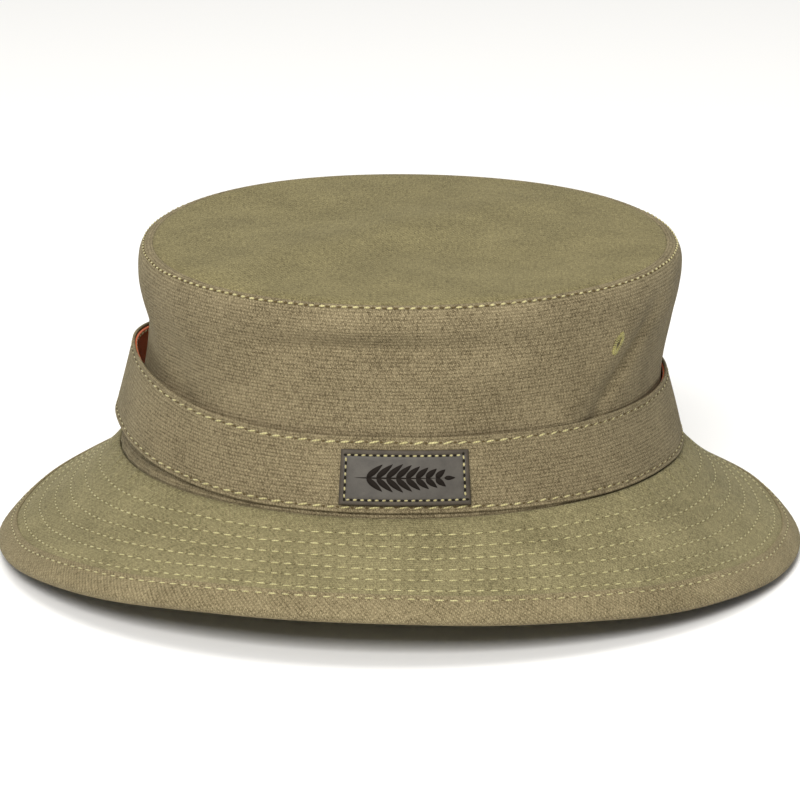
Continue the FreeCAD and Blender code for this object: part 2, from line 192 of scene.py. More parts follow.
@dataclass
class CrownSurface(SoftSurface):
    """Outer face of the crown's wall, from the brim seam up and over the rolled top edge."""

    side: float
    front: float
    seam_level: float
    rim_level: float
    # distance up the cloth, inset at the sides, inset at front and back, height above the seam
    profile: tuple[tuple[float, float, float, float], ...] = (
        (-2.0, -0.3, -0.3, -2.0),
        (0.0, 0.2, 0.2, 0.0),
        (1.6, -0.2, -0.2, 1.6),
        (4.0, 0.9, 0.7, 3.9),
        (14.0, 4.3, 3.2, 13.4),
        (24.0, 6.6, 4.9, 23.0),
        (33.0, 7.0, 5.2, 32.0),
        (43.0, 5.6, 4.1, 42.0),
        (52.0, 3.3, 2.9, 51.0),
        (58.0, 2.5, 2.3, 57.0),
        (62.0, 2.7, 2.5, 61.0),
        (64.8, 3.5, 3.2, 63.6),
        (66.8, 4.9, 4.6, 65.1),
        (69.0, 7.0, 6.6, 65.7),
        (71.0, 9.0, 8.6, 65.6),
    )
    lean: float = 2.9 * MM
    back_fullness: float = 0.026
    back_rise: float = 1.0 * MM
    dents: tuple[Dent, ...] = (
        Dent(0, 51.5 * MM, 48 * MM, 4.6 * MM, 3.0 * MM, 1),
        Dent(-17, 51.5 * MM, 24 * MM, 4.6 * MM, 2.2 * MM, 2),
        Dent(-95, 45 * MM, 22 * MM, 7 * MM, 1.2 * MM),
        Dent(-22, 42 * MM, 20 * MM, 9 * MM, 0.8 * MM, -30),
        Dent(-12, 60 * MM, 26 * MM, 4 * MM, -0.5 * MM),
        Dent(52.5, 37 * MM, 19 * MM, 3.8 * MM, 2.4 * MM, 52),
        Dent(45, 40 * MM, 20 * MM, 5.0 * MM, -0.9 * MM, 50),
        Dent(78, 47 * MM, 16 * MM, 8 * MM, 0.9 * MM, 70),
        Dent(-62, 40 * MM, 16 * MM, 9 * MM, 0.9 * MM, -50),
        Dent(150, 46 * MM, 30 * MM, 7 * MM, 1.2 * MM, 12),
        Dent(205, 38 * MM, 22 * MM, 6 * MM, 1.0 * MM, -35),
        Dent(255, 50 * MM, 20 * MM, 7 * MM, 0.9 * MM, 20),
    )
    handling: Handling = Handling(7, 0.28 * MM, 9, 1.6)

    def middle(self, bearing: Array, along: Array) -> Array:
        """Points of the wall's outer face."""
        bearing, along = paired(bearing, along)
        knots, side_in, front_in, up = (np.array(column) * MM for column in zip(*self.profile))
        level = through(along, knots, up)
        soft = smooth_step(level / (12 * MM)) * smooth_step((self.rim_level - level) / (9 * MM))
        push = sum(dent.rise(bearing, level, self.side) for dent in self.dents)
        push = soft * (push + self.handling.rise(bearing, along, self.rim_level))
        side = self.side - through(along, knots, side_in) + push
        front = self.front - through(along, knots, front_in) + push
        squared = self.back_fullness * np.sin(2 * bearing) ** 2 * smooth_step(level / (40 * MM))
        full = 1 + squared * np.where(np.cos(bearing) < 0, 1.0, 0.25)
        side, front = side * full, front * full
        shift = self.lean * smooth_step((level - 16 * MM) / (28 * MM))
        uneven = 0.5 * MM * np.sin(2 * bearing + 0.7) + self.back_rise * (1 - np.cos(bearing)) / 2
        height = self.seam_level + level + uneven * smooth_step(level / self.rim_level)
        return np.stack([shift + side * np.sin(bearing), -front * np.cos(bearing), height], axis=-1)


@dataclass
class BrimSurface(SoftSurface):
    """Middle face of the brim, from its seam down to its curled edge."""

    side: float
    front: float
    seam_level: float
    width: float = 48.4 * MM
    droop: float = 29.6
    side_droop: float = 6.6
    corner_droop: float = 0.35
    rear_droop: float = 3.2
    left_droop: float = 2.3
    left_wave: float = 1.0
    root_bend: float = 4.0
    edge_bend: float = 24.5
    curl_start: float = 34.0 * MM
    side_hollow: float = 2.6 * MM
    tuck: float = 2.3
    tuck_bearing: float = -115.0
    tuck_spread: float = 35.0
    handling: Handling = Handling(11, 0.22 * MM, 7, 0.8)
    runs: tuple[Array, Array, Array] = field(init=False, repr=False)

    def __post_init__(self) -> None:
        """Work out how far the cloth runs out and down for a level start."""
        margin = 6 * MM
        spots = np.linspace(-margin, self.width + margin, 600)
        root = self.root_bend * (1 - 2 * spots / self.curl_start)
        curl = smooth_step((spots - self.curl_start) / (self.width - self.curl_start))
        bend = np.radians(np.where(spots < self.curl_start, root, -self.root_bend + self.edge_bend * curl))
        stride = spots[1] - spots[0]
        runs = []
        for part in (np.cos(bend), np.sin(bend)):
            run = np.concatenate([[0], np.cumsum((part[1:] + part[:-1]) / 2 * stride)])
            runs.append(run - np.interp(0, spots, run))
        self.runs = (spots, *runs)

    def slope(self, bearing: Array) -> Array:
        """Slope of the cloth below the horizontal at each bearing, in radians."""
        around = self.droop - self.side_droop * np.cos(2 * bearing)
        around = around - self.corner_droop * np.cos(4 * bearing) - self.rear_droop * np.cos(bearing)
        around = around + self.left_droop * np.sin(bearing) + self.left_wave * np.sin(3 * bearing)
        aside = np.degrees(wrapped(bearing - math.radians(self.tuck_bearing)))
        return np.radians(around + self.tuck * np.exp(-((aside / self.tuck_spread) ** 2)))

    def middle(self, bearing: Array, along: Array) -> Array:
        """Points of the brim's middle face."""
        bearing, along = paired(bearing, along)
        spots, outward, downward = self.runs
        slope = self.slope(bearing)
        flat = np.interp(along, spots, outward)
        bent = np.interp(along, spots, downward)
        reach = np.cos(slope) * flat - np.sin(slope) * bent
        drop = np.sin(slope) * flat + np.cos(slope) * bent
        out_x = np.sin(bearing) / self.side
        out_y = -np.cos(bearing) / self.front
        size = np.hypot(out_x, out_y)
        wave = self.handling.rise(bearing, along, self.width) * smooth_step(along / (14 * MM))
        share = np.clip(along / self.width, 0, 1)
        wave = wave - self.side_hollow * np.sin(bearing) ** 4 * 4 * share * (1 - share)
        x = self.side * np.sin(bearing) + out_x / size * reach
        y = -self.front * np.cos(bearing) + out_y / size * reach
        return np.stack([x, y, self.seam_level - drop + wave], axis=-1)


@dataclass
class BandSurface(SoftSurface):
    """Outer face of the loose band, from its lower edge up."""

    seam_level: float
    foot_side: float = 90.7 * MM
    foot_front: float = 98.9 * MM
    top_side: float = 84.9 * MM
    top_front: float = 94.9 * MM
    shift: float = -0.2 * MM
    rest: float = 1.5 * MM
    lift: float = 9.4 * MM
    lift_falls: float = 8.0
    front_lift: float = 1.3 * MM
    front_lift_falls: float = 14.0
    height: float = 23.6 * MM
    dents: tuple[Dent, ...] = (
        Dent(-62, 9 * MM, 26 * MM, 9 * MM, -1.0 * MM),
        Dent(40, 12 * MM, 30 * MM, 9 * MM, 0.6 * MM),
        Dent(120, 10 * MM, 28 * MM, 9 * MM, -0.8 * MM, 10),
        Dent(215, 14 * MM, 26 * MM, 9 * MM, 0.8 * MM, -8),
    )
    handling: Handling = Handling(23, 0.22 * MM, 8, 0.7)

    def middle(self, bearing: Array, along: Array) -> Array:
        """Points of the band's outer face."""
        bearing, along = paired(bearing, along)
        share = along / self.height
        inward = self.foot_side - self.top_side
        upright = math.sqrt(self.height**2 - inward**2) / self.height
        push = sum(dent.rise(bearing, along, self.foot_side) for dent in self.dents)
        push = push + self.handling.rise(bearing, along, self.height)
        side = self.foot_side + (self.top_side - self.foot_side) * share + push
        front = self.foot_front + (self.top_front - self.foot_front) * share + push
        raised = self.lift * ((1 - np.sin(bearing)) / 2) ** self.lift_falls
        raised = raised + self.front_lift * ((1 + np.cos(bearing)) / 2) ** self.front_lift_falls
        height = self.seam_level + self.rest + raised + along * upright
        return np.stack([self.shift + side * np.sin(bearing), -front * np.cos(bearing), height], axis=-1)


# ---------------------------------------------------------------- material graphs
class Graph:
    """A material's nodes, added and joined one at a time."""

    def __init__(self, name: str) -> None:
        """Start an empty material that holds only its output."""
        self.material = bpy.data.materials.new(name)
        self.material.use_nodes = True
        self.tree = self.material.node_tree
        self.tree.nodes.clear()
        self.output = self.tree.nodes.new("ShaderNodeOutputMaterial")

    def add(self, kind: str, inputs: Optional[dict] = None, **settings: object) -> bpy.types.Node:
        """Add a node.

        Args:
            kind: The node's type without its leading ShaderNode.
            inputs: Socket names or numbers, with a value or a socket to join for each.
            settings: Properties of the node itself.

        Returns:
            The new node.
        """
        node = self.tree.nodes.new(f"ShaderNode{kind}")
        for name, value in settings.items():
            setattr(node, name, value)
        for key, value in (inputs or {}).items():
            if isinstance(value, bpy.types.NodeSocket):
                self.tree.links.new(value, node.inputs[key])
            else:
                node.inputs[key].default_value = value
        return node

    def math(self, operation: str, *values: object) -> bpy.types.NodeSocket:
        """Result of a maths node on numbers or sockets."""
        return self.add("Math", dict(enumerate(values)), operation=operation).outputs[0]

    def plus(self, first: object, second: object) -> bpy.types.NodeSocket:
        """Sum of two numbers or sockets."""
        return self.math("ADD", first, second)

    def times(self, first: object, second: object) -> bpy.types.NodeSocket:
        """Product of two numbers or sockets."""
        return self.math("MULTIPLY", first, second)

    def centred(self, noise: object) -> bpy.types.NodeSocket:
        """Noise moved so that it swings about 0."""
        return self.math("SUBTRACT", noise, 0.5)

    def cloth(self) -> bpy.types.NodeSocket:
        """Place in the piece's flat cut."""
        return self.add("UVMap", uv_map="cloth").outputs[0]

    def place(self) -> bpy.types.NodeSocket:
        """Place in the piece itself."""
        return self.add("TexCoord").outputs["Object"]

    def mapped(self, place: object, **change: tuple) -> bpy.types.NodeSocket:
        """A place turned by a Rotation or stretched by a Scale."""
        return self.add("Mapping", {"Vector": place, **change}).outputs[0]

    def mix(self, share: object, first: object, second: object) -> bpy.types.NodeSocket:
        """Blend of two colours, given as 0 to 255 values."""
        inputs = {0: share, 6: tint(*first), 7: tint(*second)}
        return self.add("Mix", inputs, data_type="RGBA").outputs[2]

    def spread(self, value: object, low: float, high: float) -> bpy.types.NodeSocket:
        """A value stretched so that low becomes 0 and high becomes 1."""
        return self.add("MapRange", {0: value, 1: low, 2: high}).outputs[0]

    def noise(self, place: object, scale: float, detail: float = 2.0) -> bpy.types.NodeSocket:
        """Soft random values over a place."""
        return self.add("TexNoise", {"Vector": place, "Scale": scale, "Detail": detail}).outputs[0]

    def bump(
        self, height: object, reach: float, strength: float, under: object = None,
    ) -> bpy.types.NodeSocket:
        """Normal tilted by a height, on top of an earlier normal."""
        inputs = {"Height": height, "Distance": reach, "Strength": strength}
        if under is not None:
            inputs["Normal"] = under
        return self.add("Bump", inputs).outputs[0]

    def surface(self, inputs: dict) -> bpy.types.Material:
        """Finish the material with its shader."""
        shader = self.add("BsdfPrincipled", inputs)
        self.tree.links.new(shader.outputs[0], self.output.inputs[0])
        return self.material


def tint(red: float, green: float, blue: float) -> tuple[float, float, float, float]:
    """Colour from 0 to 255 values as seen, turned into light values."""
    parts = [value / 255 for value in (red, green, blue)]
    light = [part / 12.92 if part <= 0.04045 else ((part + 0.055) / 1.055) ** 2.4 for part in parts]
    return (*light, 1.0)


class Grain(Enum):
    """How the yarns of a piece run."""

    ALONG = 0.0
    BIAS = 45.0


@dataclass(frozen=True)
class CanvasFinish:
    """Plain-weave cotton canvas with uneven yarns and a dry, slightly worn face, with painted shade in the
    weave's hollows and painted highlight on its crests.
    """

    name: str
    # light and dark ends of the colour: the yarn's own tone, with painted highlight on the crests and painted
    # shade in the hollows
    crest_tone_and_highlight: tuple[float, float, float]
    valley_tone_and_shade: tuple[float, float, float]
    grain: Grain = Grain.ALONG
    row: float = 1.09 * MM
    bump_length: float = 1.18 * MM
    skew: float = 0.85
    relief: float = 0.14 * MM
    weave_shade_contrast: float = 0.6
    mottle: float = 0.5
    fuzz: float = 0.08

    def material(self) -> bpy.types.Material:
        """Material that reads the piece's own cloth map."""
        graph = Graph(self.name)
        cloth = graph.mapped(graph.cloth(), Rotation=(0, 0, math.radians(self.grain.value)))
        drift = graph.add("TexNoise", {"Vector": cloth, "Scale": 170.0, "Detail": 1.5}).outputs[1]
        drift = graph.add("VectorMath", {0: drift, 1: (0.5, 0.5, 0.5)}, operation="SUBTRACT").outputs[0]
        drift = graph.add("VectorMath", {0: drift, "Scale": 0.55 * MM}, operation="SCALE").outputs[0]
        pulled = graph.add("VectorMath", {0: cloth, 1: drift}, operation="ADD").outputs[0]
        axes = graph.add("SeparateXYZ", {0: pulled})
        rows = graph.times(axes.outputs[1], math.pi / self.row)
        ribs = graph.math("ABSOLUTE", graph.math("SINE", rows))
        steps = graph.times(axes.outputs[0], TURN / self.bump_length)
        beads = graph.math("COSINE", graph.plus(steps, graph.times(rows, self.skew)))
        over = graph.times(ribs, beads)
        weft_yarn = graph.plus(graph.times(ribs, 0.3), graph.times(over, 0.7))
        warp_height = graph.plus(graph.times(ribs, -0.2), -0.3)
        warp_yarn = graph.times(beads, warp_height)
        weave = graph.math("MAXIMUM", weft_yarn, warp_yarn)

        weft = graph.noise(graph.mapped(cloth, Scale=(190, 950, 1)), 1.0)
        warp = graph.noise(graph.mapped(cloth, Scale=(1700, 240, 1)), 1.0)
        grit = graph.noise(cloth, 800.0, 3.0)
        lint = graph.noise(cloth, 2600.0)
        broad = graph.noise(cloth, 48.0, 4.0)

        # painted shade and highlight: the colour follows the weave's height, darker in the hollows between
        # yarns and lighter on their crests; the noises add the cloth's random tone
        shade = graph.times(graph.spread(weave, 0.0, 0.95), self.weave_shade_contrast)
        for wave, share in ((weft, 0.4), (warp, 0.6), (grit, 0.85), (lint, 1.8), (broad, self.mottle)):
            shade = graph.plus(shade, graph.times(graph.centred(wave), share))
        middle = self.weave_shade_contrast / 2
        colour = graph.mix(graph.spread(shade, middle - 0.55, middle + 0.6), self.valley_tone_and_shade, self.crest_tone_and_highlight)

        height = graph.plus(weave, graph.times(weft, 0.6))
        woven = graph.bump(height, self.relief, 1.0)
        fine = graph.bump(grit, 0.12 * MM, 0.6, woven)
        rough = graph.plus(graph.times(lint, 0.12), 0.82)
        return graph.surface({
            "Base Color": colour, "Roughness": rough, "Normal": fine, "Specular IOR Level": 0.18,
            "Sheen Weight": self.fuzz, "Sheen Roughness": 0.45, "Sheen Tint": tint(236, 228, 190),
        })


@dataclass(frozen=True)
class TwillFinish:
    """Fine twill for the sweatband, tapes and lining."""

    name: str
    colour: tuple[float, float, float]
    shadow: tuple[float, float, float]
    rib: float = 0.55 * MM
    lean: float = 52.0

    def material(self) -> bpy.types.Material:
        """Material with slanting ribs that follow the piece's cloth map."""
        graph = Graph(self.name)
        cloth = graph.cloth()
        axes = graph.add("SeparateXYZ", {0: graph.mapped(cloth, Rotation=(0, 0, math.radians(self.lean)))})
        ribs = graph.math("SINE", graph.times(axes.outputs[1], TURN / self.rib))
        beads = graph.math("SINE", graph.times(axes.outputs[0], TURN / (1.6 * self.rib)))
        weave = graph.plus(graph.times(ribs, 0.4), graph.times(beads, 0.14))
        lint = graph.noise(cloth, 2200.0)
        broad = graph.noise(cloth, 60.0, 3.0)
        shade = graph.plus(graph.plus(weave, 0.5), graph.centred(lint))
        shade = graph.plus(shade, graph.centred(broad))
        colour = graph.mix(graph.spread(shade, -0.2, 1.2), self.shadow, self.colour)
        return graph.surface({
            "Base Color": colour, "Roughness": 0.86, "Specular IOR Level": 0.2,
            "Normal": graph.bump(weave, 0.1 * MM, 0.7), "Sheen Weight": 0.15, "Sheen Roughness": 0.4,
        })


@dataclass(frozen=True)
class ThreadFinish:
    """Two-ply sewing thread, twisted along its length."""

    name: str
    colour: tuple[float, float, float]
    shadow: tuple[float, float, float]

    def material(self) -> bpy.types.Material:
        """Material that reads each stitch's own map."""
        graph = Graph(self.name)
        axes = graph.add("SeparateXYZ", {0: graph.cloth()})
        twist = graph.plus(graph.times(axes.outputs[1], 5.0), axes.outputs[0])
        plies = graph.math("SINE", graph.times(twist, TURN))
        place = graph.place()
        uneven = graph.noise(place, 140.0)
        hairs = graph.noise(place, 3500.0)
        shade = graph.plus(graph.times(plies, 0.3), graph.plus(uneven, 0.1))
        shade = graph.plus(shade, graph.times(graph.centred(hairs), 0.5))
        colour = graph.mix(graph.spread(shade, 0.0, 1.1), self.shadow, self.colour)
        return graph.surface({
            "Base Color": colour, "Roughness": 0.62, "Specular IOR Level": 0.35,
            "Normal": graph.bump(plies, 0.06 * MM, 0.7), "Sheen Weight": 0.2, "Sheen Roughness": 0.35,
        })


@dataclass(frozen=True)
class LeatherFinish:
    """Matt imitation leather with a fine pebble and rubbed edges."""

    name: str
    colour: tuple[float, float, float]
    shadow: tuple[float, float, float]
    rough: float = 0.62

    def material(self) -> bpy.types.Material:
        """Material that reads the piece's own place."""
        graph = Graph(self.name)
        place = graph.place()
        pebble = graph.add("TexVoronoi", {"Vector": place, "Scale": 2100.0}).outputs[0]
        cloud = graph.noise(place, 260.0, 5.0)
        scuff = graph.noise(place, 1300.0, 3.0)
        shade = graph.plus(graph.times(cloud, 0.9), graph.times(scuff, 0.45))
        colour = graph.mix(graph.spread(shade, 0.35, 1.0), self.shadow, self.colour)
        rough = graph.plus(graph.times(scuff, 0.2), self.rough - 0.1)
        return graph.surface({
            "Base Color": colour, "Roughness": rough, "Specular IOR Level": 0.4,
            "Normal": graph.bump(pebble, 0.05 * MM, 0.45),
        })


@dataclass(frozen=True)
class PlainFinish:
    """Even matt finish for floors, the painted shade at needle holes and hidden plies."""

    name: str
    colour: tuple[float, float, float]
    speckle: float = 0.04

    def material(self) -> bpy.types.Material:
        """Material with only a faint unevenness."""
        graph = Graph(self.name)
        place = graph.place()
        darker = [value * (1 - self.speckle) for value in self.colour]
        colour = graph.mix(graph.noise(place, 90.0, 3.0), darker, self.colour)
        return graph.surface({"Base Color": colour, "Roughness": 0.9, "Specular IOR Level": 0.1})


@dataclass
class Wardrobe:
    """Every finish of the hat, each built once."""

    wall: CanvasFinish = CanvasFinish("khaki_wall_canvas", (154, 141, 110), (62, 52, 33))
    # painted light: the tip and brim are cut from the wall's canvas, but these copies get their own colours
    # and weaker weave shade for how light falls on them; the tip copy is yellower and a little darker, the
    # brim copy lighter
    tip: CanvasFinish = CanvasFinish("tip_painted_shade_khaki_canvas", (151, 141, 100), (60, 52, 30), weave_shade_contrast=0.4)
    brim: CanvasFinish = CanvasFinish("brim_painted_light_khaki_canvas", (160, 151, 112), (64, 57, 34), weave_shade_contrast=0.36)
    binding: CanvasFinish = CanvasFinish("khaki_binding_canvas", (157, 144, 111), (70, 60, 38), Grain.BIAS)
    lining: TwillFinish = TwillFinish("blaze_orange_lining", (238, 116, 46), (206, 88, 30))
    sweatband: TwillFinish = TwillFinish("sweatband_twill", (140, 128, 96), (98, 88, 62))
    tape: TwillFinish = TwillFinish("seam_tape_twill", (150, 138, 106), (108, 98, 70), rib=0.8 * MM)
    tag: TwillFinish = TwillFinish("woven_tag", (222, 218, 204), (188, 184, 170), rib=0.35 * MM)
    thread: ThreadFinish = ThreadFinish("khaki_sewing_thread", (202, 193, 142), (124, 113, 70))
    quilting: ThreadFinish = ThreadFinish("olive_sewing_thread", (202, 195, 144), (128, 119, 76))
    hidden: PlainFinish = PlainFinish("interlining_cloth", (206, 200, 180))
    # painted shade: dark finishes for the blobs sunk at each needle's entry; the label's is near black
    hole_shade: PlainFinish = PlainFinish("needle_hole_painted_shade", (84, 71, 45))
    label_hole_shade: PlainFinish = PlainFinish("label_hole_painted_shade", (30, 27, 20))
    knot: ThreadFinish = ThreadFinish("eyelet_thread", (176, 168, 104), (72, 64, 30))
    leather: LeatherFinish = LeatherFinish("label_leather", (79, 75, 68), (58, 54, 49))
    edge: LeatherFinish = LeatherFinish("label_border_leather", (74, 66, 54), (46, 40, 32), 0.7)
    motif: PlainFinish = PlainFinish("label_engraving", (32, 27, 23), 0.2)
    built: dict[str, bpy.types.Material] = field(default_factory=dict)

    def get(self, name: str) -> bpy.types.Material:
        """Material of the finish with this field name."""
        if name not in self.built:
            self.built[name] = getattr(self, name).material()
        return self.built[name]


# ---------------------------------------------------------------- shared modelling steps
def active() -> bpy.types.Object:
    """The object that the last operator made or worked on."""
    return bpy.context.view_layer.objects.active


def pick_only(piece: bpy.types.Object) -> None:
    """Select one object and make it the active one."""
    bpy.ops.object.select_all(action="DESELECT")
    piece.select_set(True)
    bpy.context.view_layer.objects.active = piece


def in_edit_mode(piece: bpy.types.Object, *steps: Callable[[], object]) -> None:
    """Run edit-mode operators on the whole of a piece."""
    pick_only(piece)
    bpy.ops.object.mode_set(mode="EDIT")
    bpy.ops.mesh.select_all(action="SELECT")
    for step in steps:
        step()
    bpy.ops.object.mode_set(mode="OBJECT")


def face_out(piece: bpy.types.Object) -> None:
    """Turn every face outwards."""
    in_edit_mode(piece, lambda: bpy.ops.mesh.normals_make_consistent(inside=False))


def named(name: str) -> bpy.types.Object:
    """Give the active object and its mesh their name, and smooth its faces."""
    piece = active()
    piece.name = name
    piece.data.name = name
    pick_only(piece)
    bpy.ops.object.shade_smooth()
    return piece


def flat_grid(name: str, along: int, across: int) -> bpy.types.Object:
    """Named square grid from -1 to 1."""
    bpy.ops.object.select_all(action="DESELECT")
    bpy.ops.mesh.primitive_grid_add(x_subdivisions=along, y_subdivisions=across, size=2.0)
    return named(name)


def move_points(piece: bpy.types.Object, points: Array) -> None:
    """Put a mesh's points where the rows of an array say."""
    piece.data.vertices.foreach_set("co", np.ascontiguousarray(points, np.float32).ravel())
    piece.data.update()


def points_of(piece: bpy.types.Object) -> Array:
    """A mesh's points as the rows of an array."""
    points = np.zeros(len(piece.data.vertices) * 3)
    piece.data.vertices.foreach_get("co", points)
    return points.reshape(-1, 3)


@dataclass
class Strip:
    """Section of a cloth ring: up one face, round an edge, down the other face and round again."""

    along: Array
    rise: Array
    lay: Array
    outer: Array

    @classmethod
    def cut(cls, face: Array, low: float, high: float) -> "Strip":
        """Cut a strip's section with two rounded edges.

        Args:
            face: Distances across the cloth where the section has points.
            low: Height of the inner face.
            high: Height of the outer face.

        Returns:
            The section, which closes on itself.
        """
        turns = 3
        half = (high - low) / 2
        swing = np.pi * (np.arange(turns) + 1) / (turns + 1)
        cap = half * np.sin(swing)
        lift = (high + low) / 2 + half * np.cos(swing)
        along = np.concatenate([face, face[-1] + cap, face[::-1], face[0] - cap])
        rise = np.concatenate([np.full(len(face), high), lift, np.full(len(face), low), lift[::-1]])
        outer = np.concatenate([np.ones(len(face)), np.zeros(turns), -np.ones(len(face)), np.zeros(turns)])
        return cls(along, rise, along.copy(), outer)


def cloth_ring(
    name: str,
    surface: SoftSurface,
    strip: Strip,
    around: int,
    relief: Optional[Relief] = None,
    flat_grain: bool = False,
) -> bpy.types.Object:
    """Lay a closed ring of cloth on a surface.

    Args:
        name: The piece's name.
        surface: What it is laid on.
        strip: The ring's section.
        around: Points round the ring.
        relief: Extra height of the outer face for bearings and distances, or nothing.
        flat_grain: Whether the yarns run straight across the piece instead of round it.

    Returns:
        The finished mesh with its cloth map.
    """
    across = len(strip.along)
    piece = flat_grid(name, around, across)
    share = (points_of(piece)[:, :2] + 1) / 2
    ring = np.round(share[:, 0] * around).astype(int)
    spot = np.round(share[:, 1] * across).astype(int) % across
    bearing = ring / around * TURN
    along = strip.along[spot]
    rise = strip.rise[spot]
    if relief is not None:
        rise = rise + relief(bearing, along) * strip.outer[spot]
    move_points(piece, surface.place(bearing, along, rise))

    middle = float(np.mean(strip.along))
    path = surface.middle(np.linspace(0, TURN, around + 1), np.full(around + 1, middle))
    walked = walk(path)
    lay = np.append(strip.lay, strip.lay[0])
    spot = np.round(share[:, 1] * across).astype(int)
    if flat_grain:
        reach = np.linalg.norm(path[ring][:, :2], axis=1) + lay[spot] - middle
        spread = np.stack([reach * np.sin(bearing), -reach * np.cos(bearing)], axis=-1)
    else:
        spread = np.stack([walked[ring], lay[spot]], axis=-1)
    map_cloth(piece, spread)
    in_edit_mode(piece, lambda: bpy.ops.mesh.remove_doubles(threshold=1e-6),
                 lambda: bpy.ops.mesh.normals_make_consistent(inside=False))
    return piece


def stitch_shape() -> tuple[Array, list[tuple[int, ...]], Array]:
    """Model one stitch, a long low bead of thread.

    Returns:
        Its points for a unit length, width and height, its faces and its map.
    """
    bpy.ops.object.select_all(action="DESELECT")
    bpy.ops.mesh.primitive_uv_sphere_add(segments=6, ring_count=5, radius=0.5, calc_uvs=True,
                                         rotation=(0, math.pi / 2, 0))
    bead = active()
    bpy.ops.object.transform_apply(location=True, rotation=True, scale=True)
    points = points_of(bead)
    faces = [tuple(face.vertices) for face in bead.data.polygons]
    lay = np.zeros(len(bead.data.loops) * 2)
    bead.data.uv_layers[0].data.foreach_get("uv", lay)
    mesh = bead.data
    bpy.data.objects.remove(bead)
    bpy.data.meshes.remove(mesh)
    return points, faces, lay.reshape(-1, 2)


@dataclass(frozen=True)
class Stitch:
    """One kind of stitch: its pitch, the share of it that shows, its thread and the dark blobs of painted
    shade where its needle goes in.
    """

    pitch: float
    share: float = 0.6
    width: float = 0.7 * MM
    height: float = 0.6 * MM
    # size of the dark blob of painted shade at each needle's entry
    hole_shade: tuple[float, float] = (0.8 * MM, 0.6 * MM)
    slant: float = 7.0


TOPSTITCH = Stitch(3.5 * MM, 0.55, 0.85 * MM, 0.75 * MM, (1.5 * MM, 0.8 * MM), 9.0)
SEAM_STITCH = Stitch(3.5 * MM)
QUILTING_STITCH = Stitch(4.2 * MM, 0.6, 0.6 * MM, 0.5 * MM, (0.6 * MM, 0.42 * MM), 3.0)
HEM_STITCH = Stitch(4.5 * MM, 0.7, 0.76 * MM, 0.7 * MM, (1.1 * MM, 0.55 * MM), 11.0)
BAR_STITCH = Stitch(1.66 * MM, 0.8, 0.5 * MM, 0.45 * MM)
LABEL_STITCH = Stitch(2.25 * MM, 0.52, 0.62 * MM, 0.55 * MM, (1.15 * MM, 0.8 * MM), 6.0)
EYELET_STITCH = Stitch(2.0 * MM, 0.95, 0.44 * MM, 0.7 * MM)


